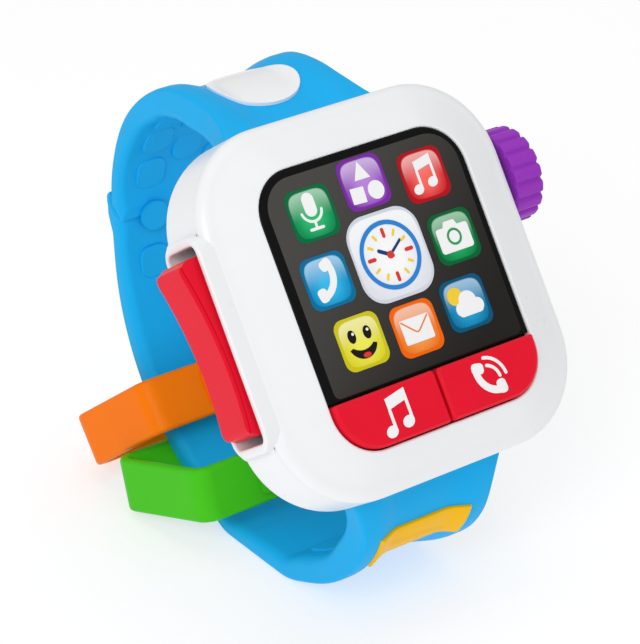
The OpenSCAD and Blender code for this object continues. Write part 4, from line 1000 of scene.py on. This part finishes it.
mark("flapMark", "letterTile", [stroke([(-3.3, 2.0), (-0.5, -0.5), (0, -0.72), (0.5, -0.5), (3.3, 2.0)], 0.34)], flapInk,
     1.6, 1.05)
mark("sunMark", "weatherTile", [disc(-1.9, 1.7, 1.65)], sunInk, size=1.2)
mark("cloudMark", "weatherTile", [disc(0.4, 0.3, 1.9), disc(2.2, -0.9, 1.35), disc(-1.3, -0.9, 1.3),
                                  roundBox(5.4, 1.7, 0.8, 0.5, -1.45)], printWhite, 1.7, 1.2)

# Clock face in the middle
markRing("clockRim", "clockTile", 7.6, 6.6, 72, skyInk)
mark("clockTicks", "clockTile", [turned(stroke([(0, 5.5), (0, 4.5)], 0.6), 30 * k) for k in range(12) if k % 3], sunInk)
mark("clockQuarters", "clockTile", [turned(stroke([(0, 5.6), (0, 4.2)], 0.85), 90 * k) for k in range(4)], coralInk)
mark("clockHands", "clockTile", [turned(stroke([(0, -0.6), (0, 2.9)], 0.85), 60),
                                 turned(stroke([(0, -0.6), (0, 4.2)], 0.6), -55)], navyInk, 1.3)
mark("clockHub", "clockTile", [disc(0, 0, 0.85, 30)], coralInk, 1.8)

# Marks on the buttons
keyTop = case["buttonProud"]


def keyMark(name, cx, cy, outlines, body):
    parts = [cutPlate(moved(o, cx, cy), keyTop - button["markSunk"], keyTop + button["markProud"] + dial["markStep"] * k)
             for k, o in enumerate(outlines)]
    return finishPiece(joined(name, parts), name, printWhite, body)


keyMark("musicSign", -13.2, splitUp - 6.2, beamedNotes(1.27), "music_button")
keyMark("phoneSign", 11.6, splitUp - 6.6, handset(1.15, 42) + [stroke(arc(0, 0, 3.3, 5, 75, 12), 0.75),
                                                            stroke(arc(0, 0, 5.0, 5, 83, 14), 0.75)], "phone_button")
print("dial made")

# Stage: pale floor, soft light and the camera of the photograph
stage = {"keyPlace": (-0.75, -0.55, 0.75), "keySize": 0.6, "keyPower": 4.3,
         "topPlace": (0.15, 0.1, 1.1), "topSize": 1.0, "topPower": 2.5, "target": (0, 0, 0.05), "worldLight": 0.54,
         "floorSize": 6, "floorLevel": -0.0002, "floorColour": (0.5, 0.5, 0.5, 1), "floorRoughness": 0.9,
         "floorSpecular": 0.1, "floorGlow": 0.58}
white = (1, 1, 1, 1)


def softLamp(name, place, size, power):
    bpy.ops.object.light_add(type="AREA", location=place)
    lamp = bpy.context.object
    lamp.name = name
    lamp.rotation_mode = "QUATERNION"
    lamp.rotation_quaternion = (Vector(stage["target"]) - Vector(place)).to_track_quat("-Z", "Y")
    lamp.data.shape = "DISK"
    lamp.data.size = size
    lamp.data.energy = power


softLamp("keyLamp", stage["keyPlace"], stage["keySize"], stage["keyPower"])
softLamp("topLamp", stage["topPlace"], stage["topSize"], stage["topPower"])

bpy.ops.mesh.primitive_plane_add(size=stage["floorSize"], location=(0, 0, stage["floorLevel"]))
floor = bpy.context.object
floor.name = "paleFloor"
floor.data.materials.append(Finish("floorFinish").surface({
    "Base Color": stage["floorColour"], "Roughness": stage["floorRoughness"], "Specular IOR Level": stage["floorSpecular"],
    "Emission Color": white, "Emission Strength": stage["floorGlow"]}))

world = Finish("studioWorld", bpy.data.worlds)
cameraRay = world.node("ShaderNodeLightPath", out="Is Camera Ray")
clearRay = world.node("ShaderNodeLightPath", out="Is Transmission Ray")
backdrop = world.node("ShaderNodeBackground", {}, {"Color": white})
lighting = world.node("ShaderNodeBackground", {}, {"Color": white, "Strength": stage["worldLight"]})
blend = world.node("ShaderNodeMixShader", {}, {0: cameraRay.most(clearRay), 1: lighting, 2: backdrop})
world.node("ShaderNodeOutputWorld", {}, {"Surface": blend})
bpy.context.scene.world = world.owner

# The camera stands in the dial's frame, where its sight line was fitted to the outline of the case
view = {"place": (-348.12, -13.91, 531.91), "ahead": (0.52258, 0.01899, -0.85238), "upward": (0.28312, 0.93916, 0.19450),
        "lens": 167.7, "sensor": 36, "near": 0.01, "far": 20}
turn = dialFrame.to_3x3().normalized()
ahead, upward = (turn @ Vector(view["ahead"])).normalized(), (turn @ Vector(view["upward"])).normalized()
side = ahead.cross(upward).normalized()
upward = side.cross(ahead)
bpy.ops.object.camera_add(location=dialFrame @ Vector(view["place"]))
camera = bpy.context.object
camera.rotation_mode = "QUATERNION"
camera.rotation_quaternion = Matrix((side, upward, -ahead)).transposed().to_quaternion()
camera.data.lens = view["lens"]
camera.data.sensor_width = view["sensor"]
camera.data.clip_start, camera.data.clip_end = view["near"], view["far"]
bpy.context.scene.camera = camera
print("stage and camera made")
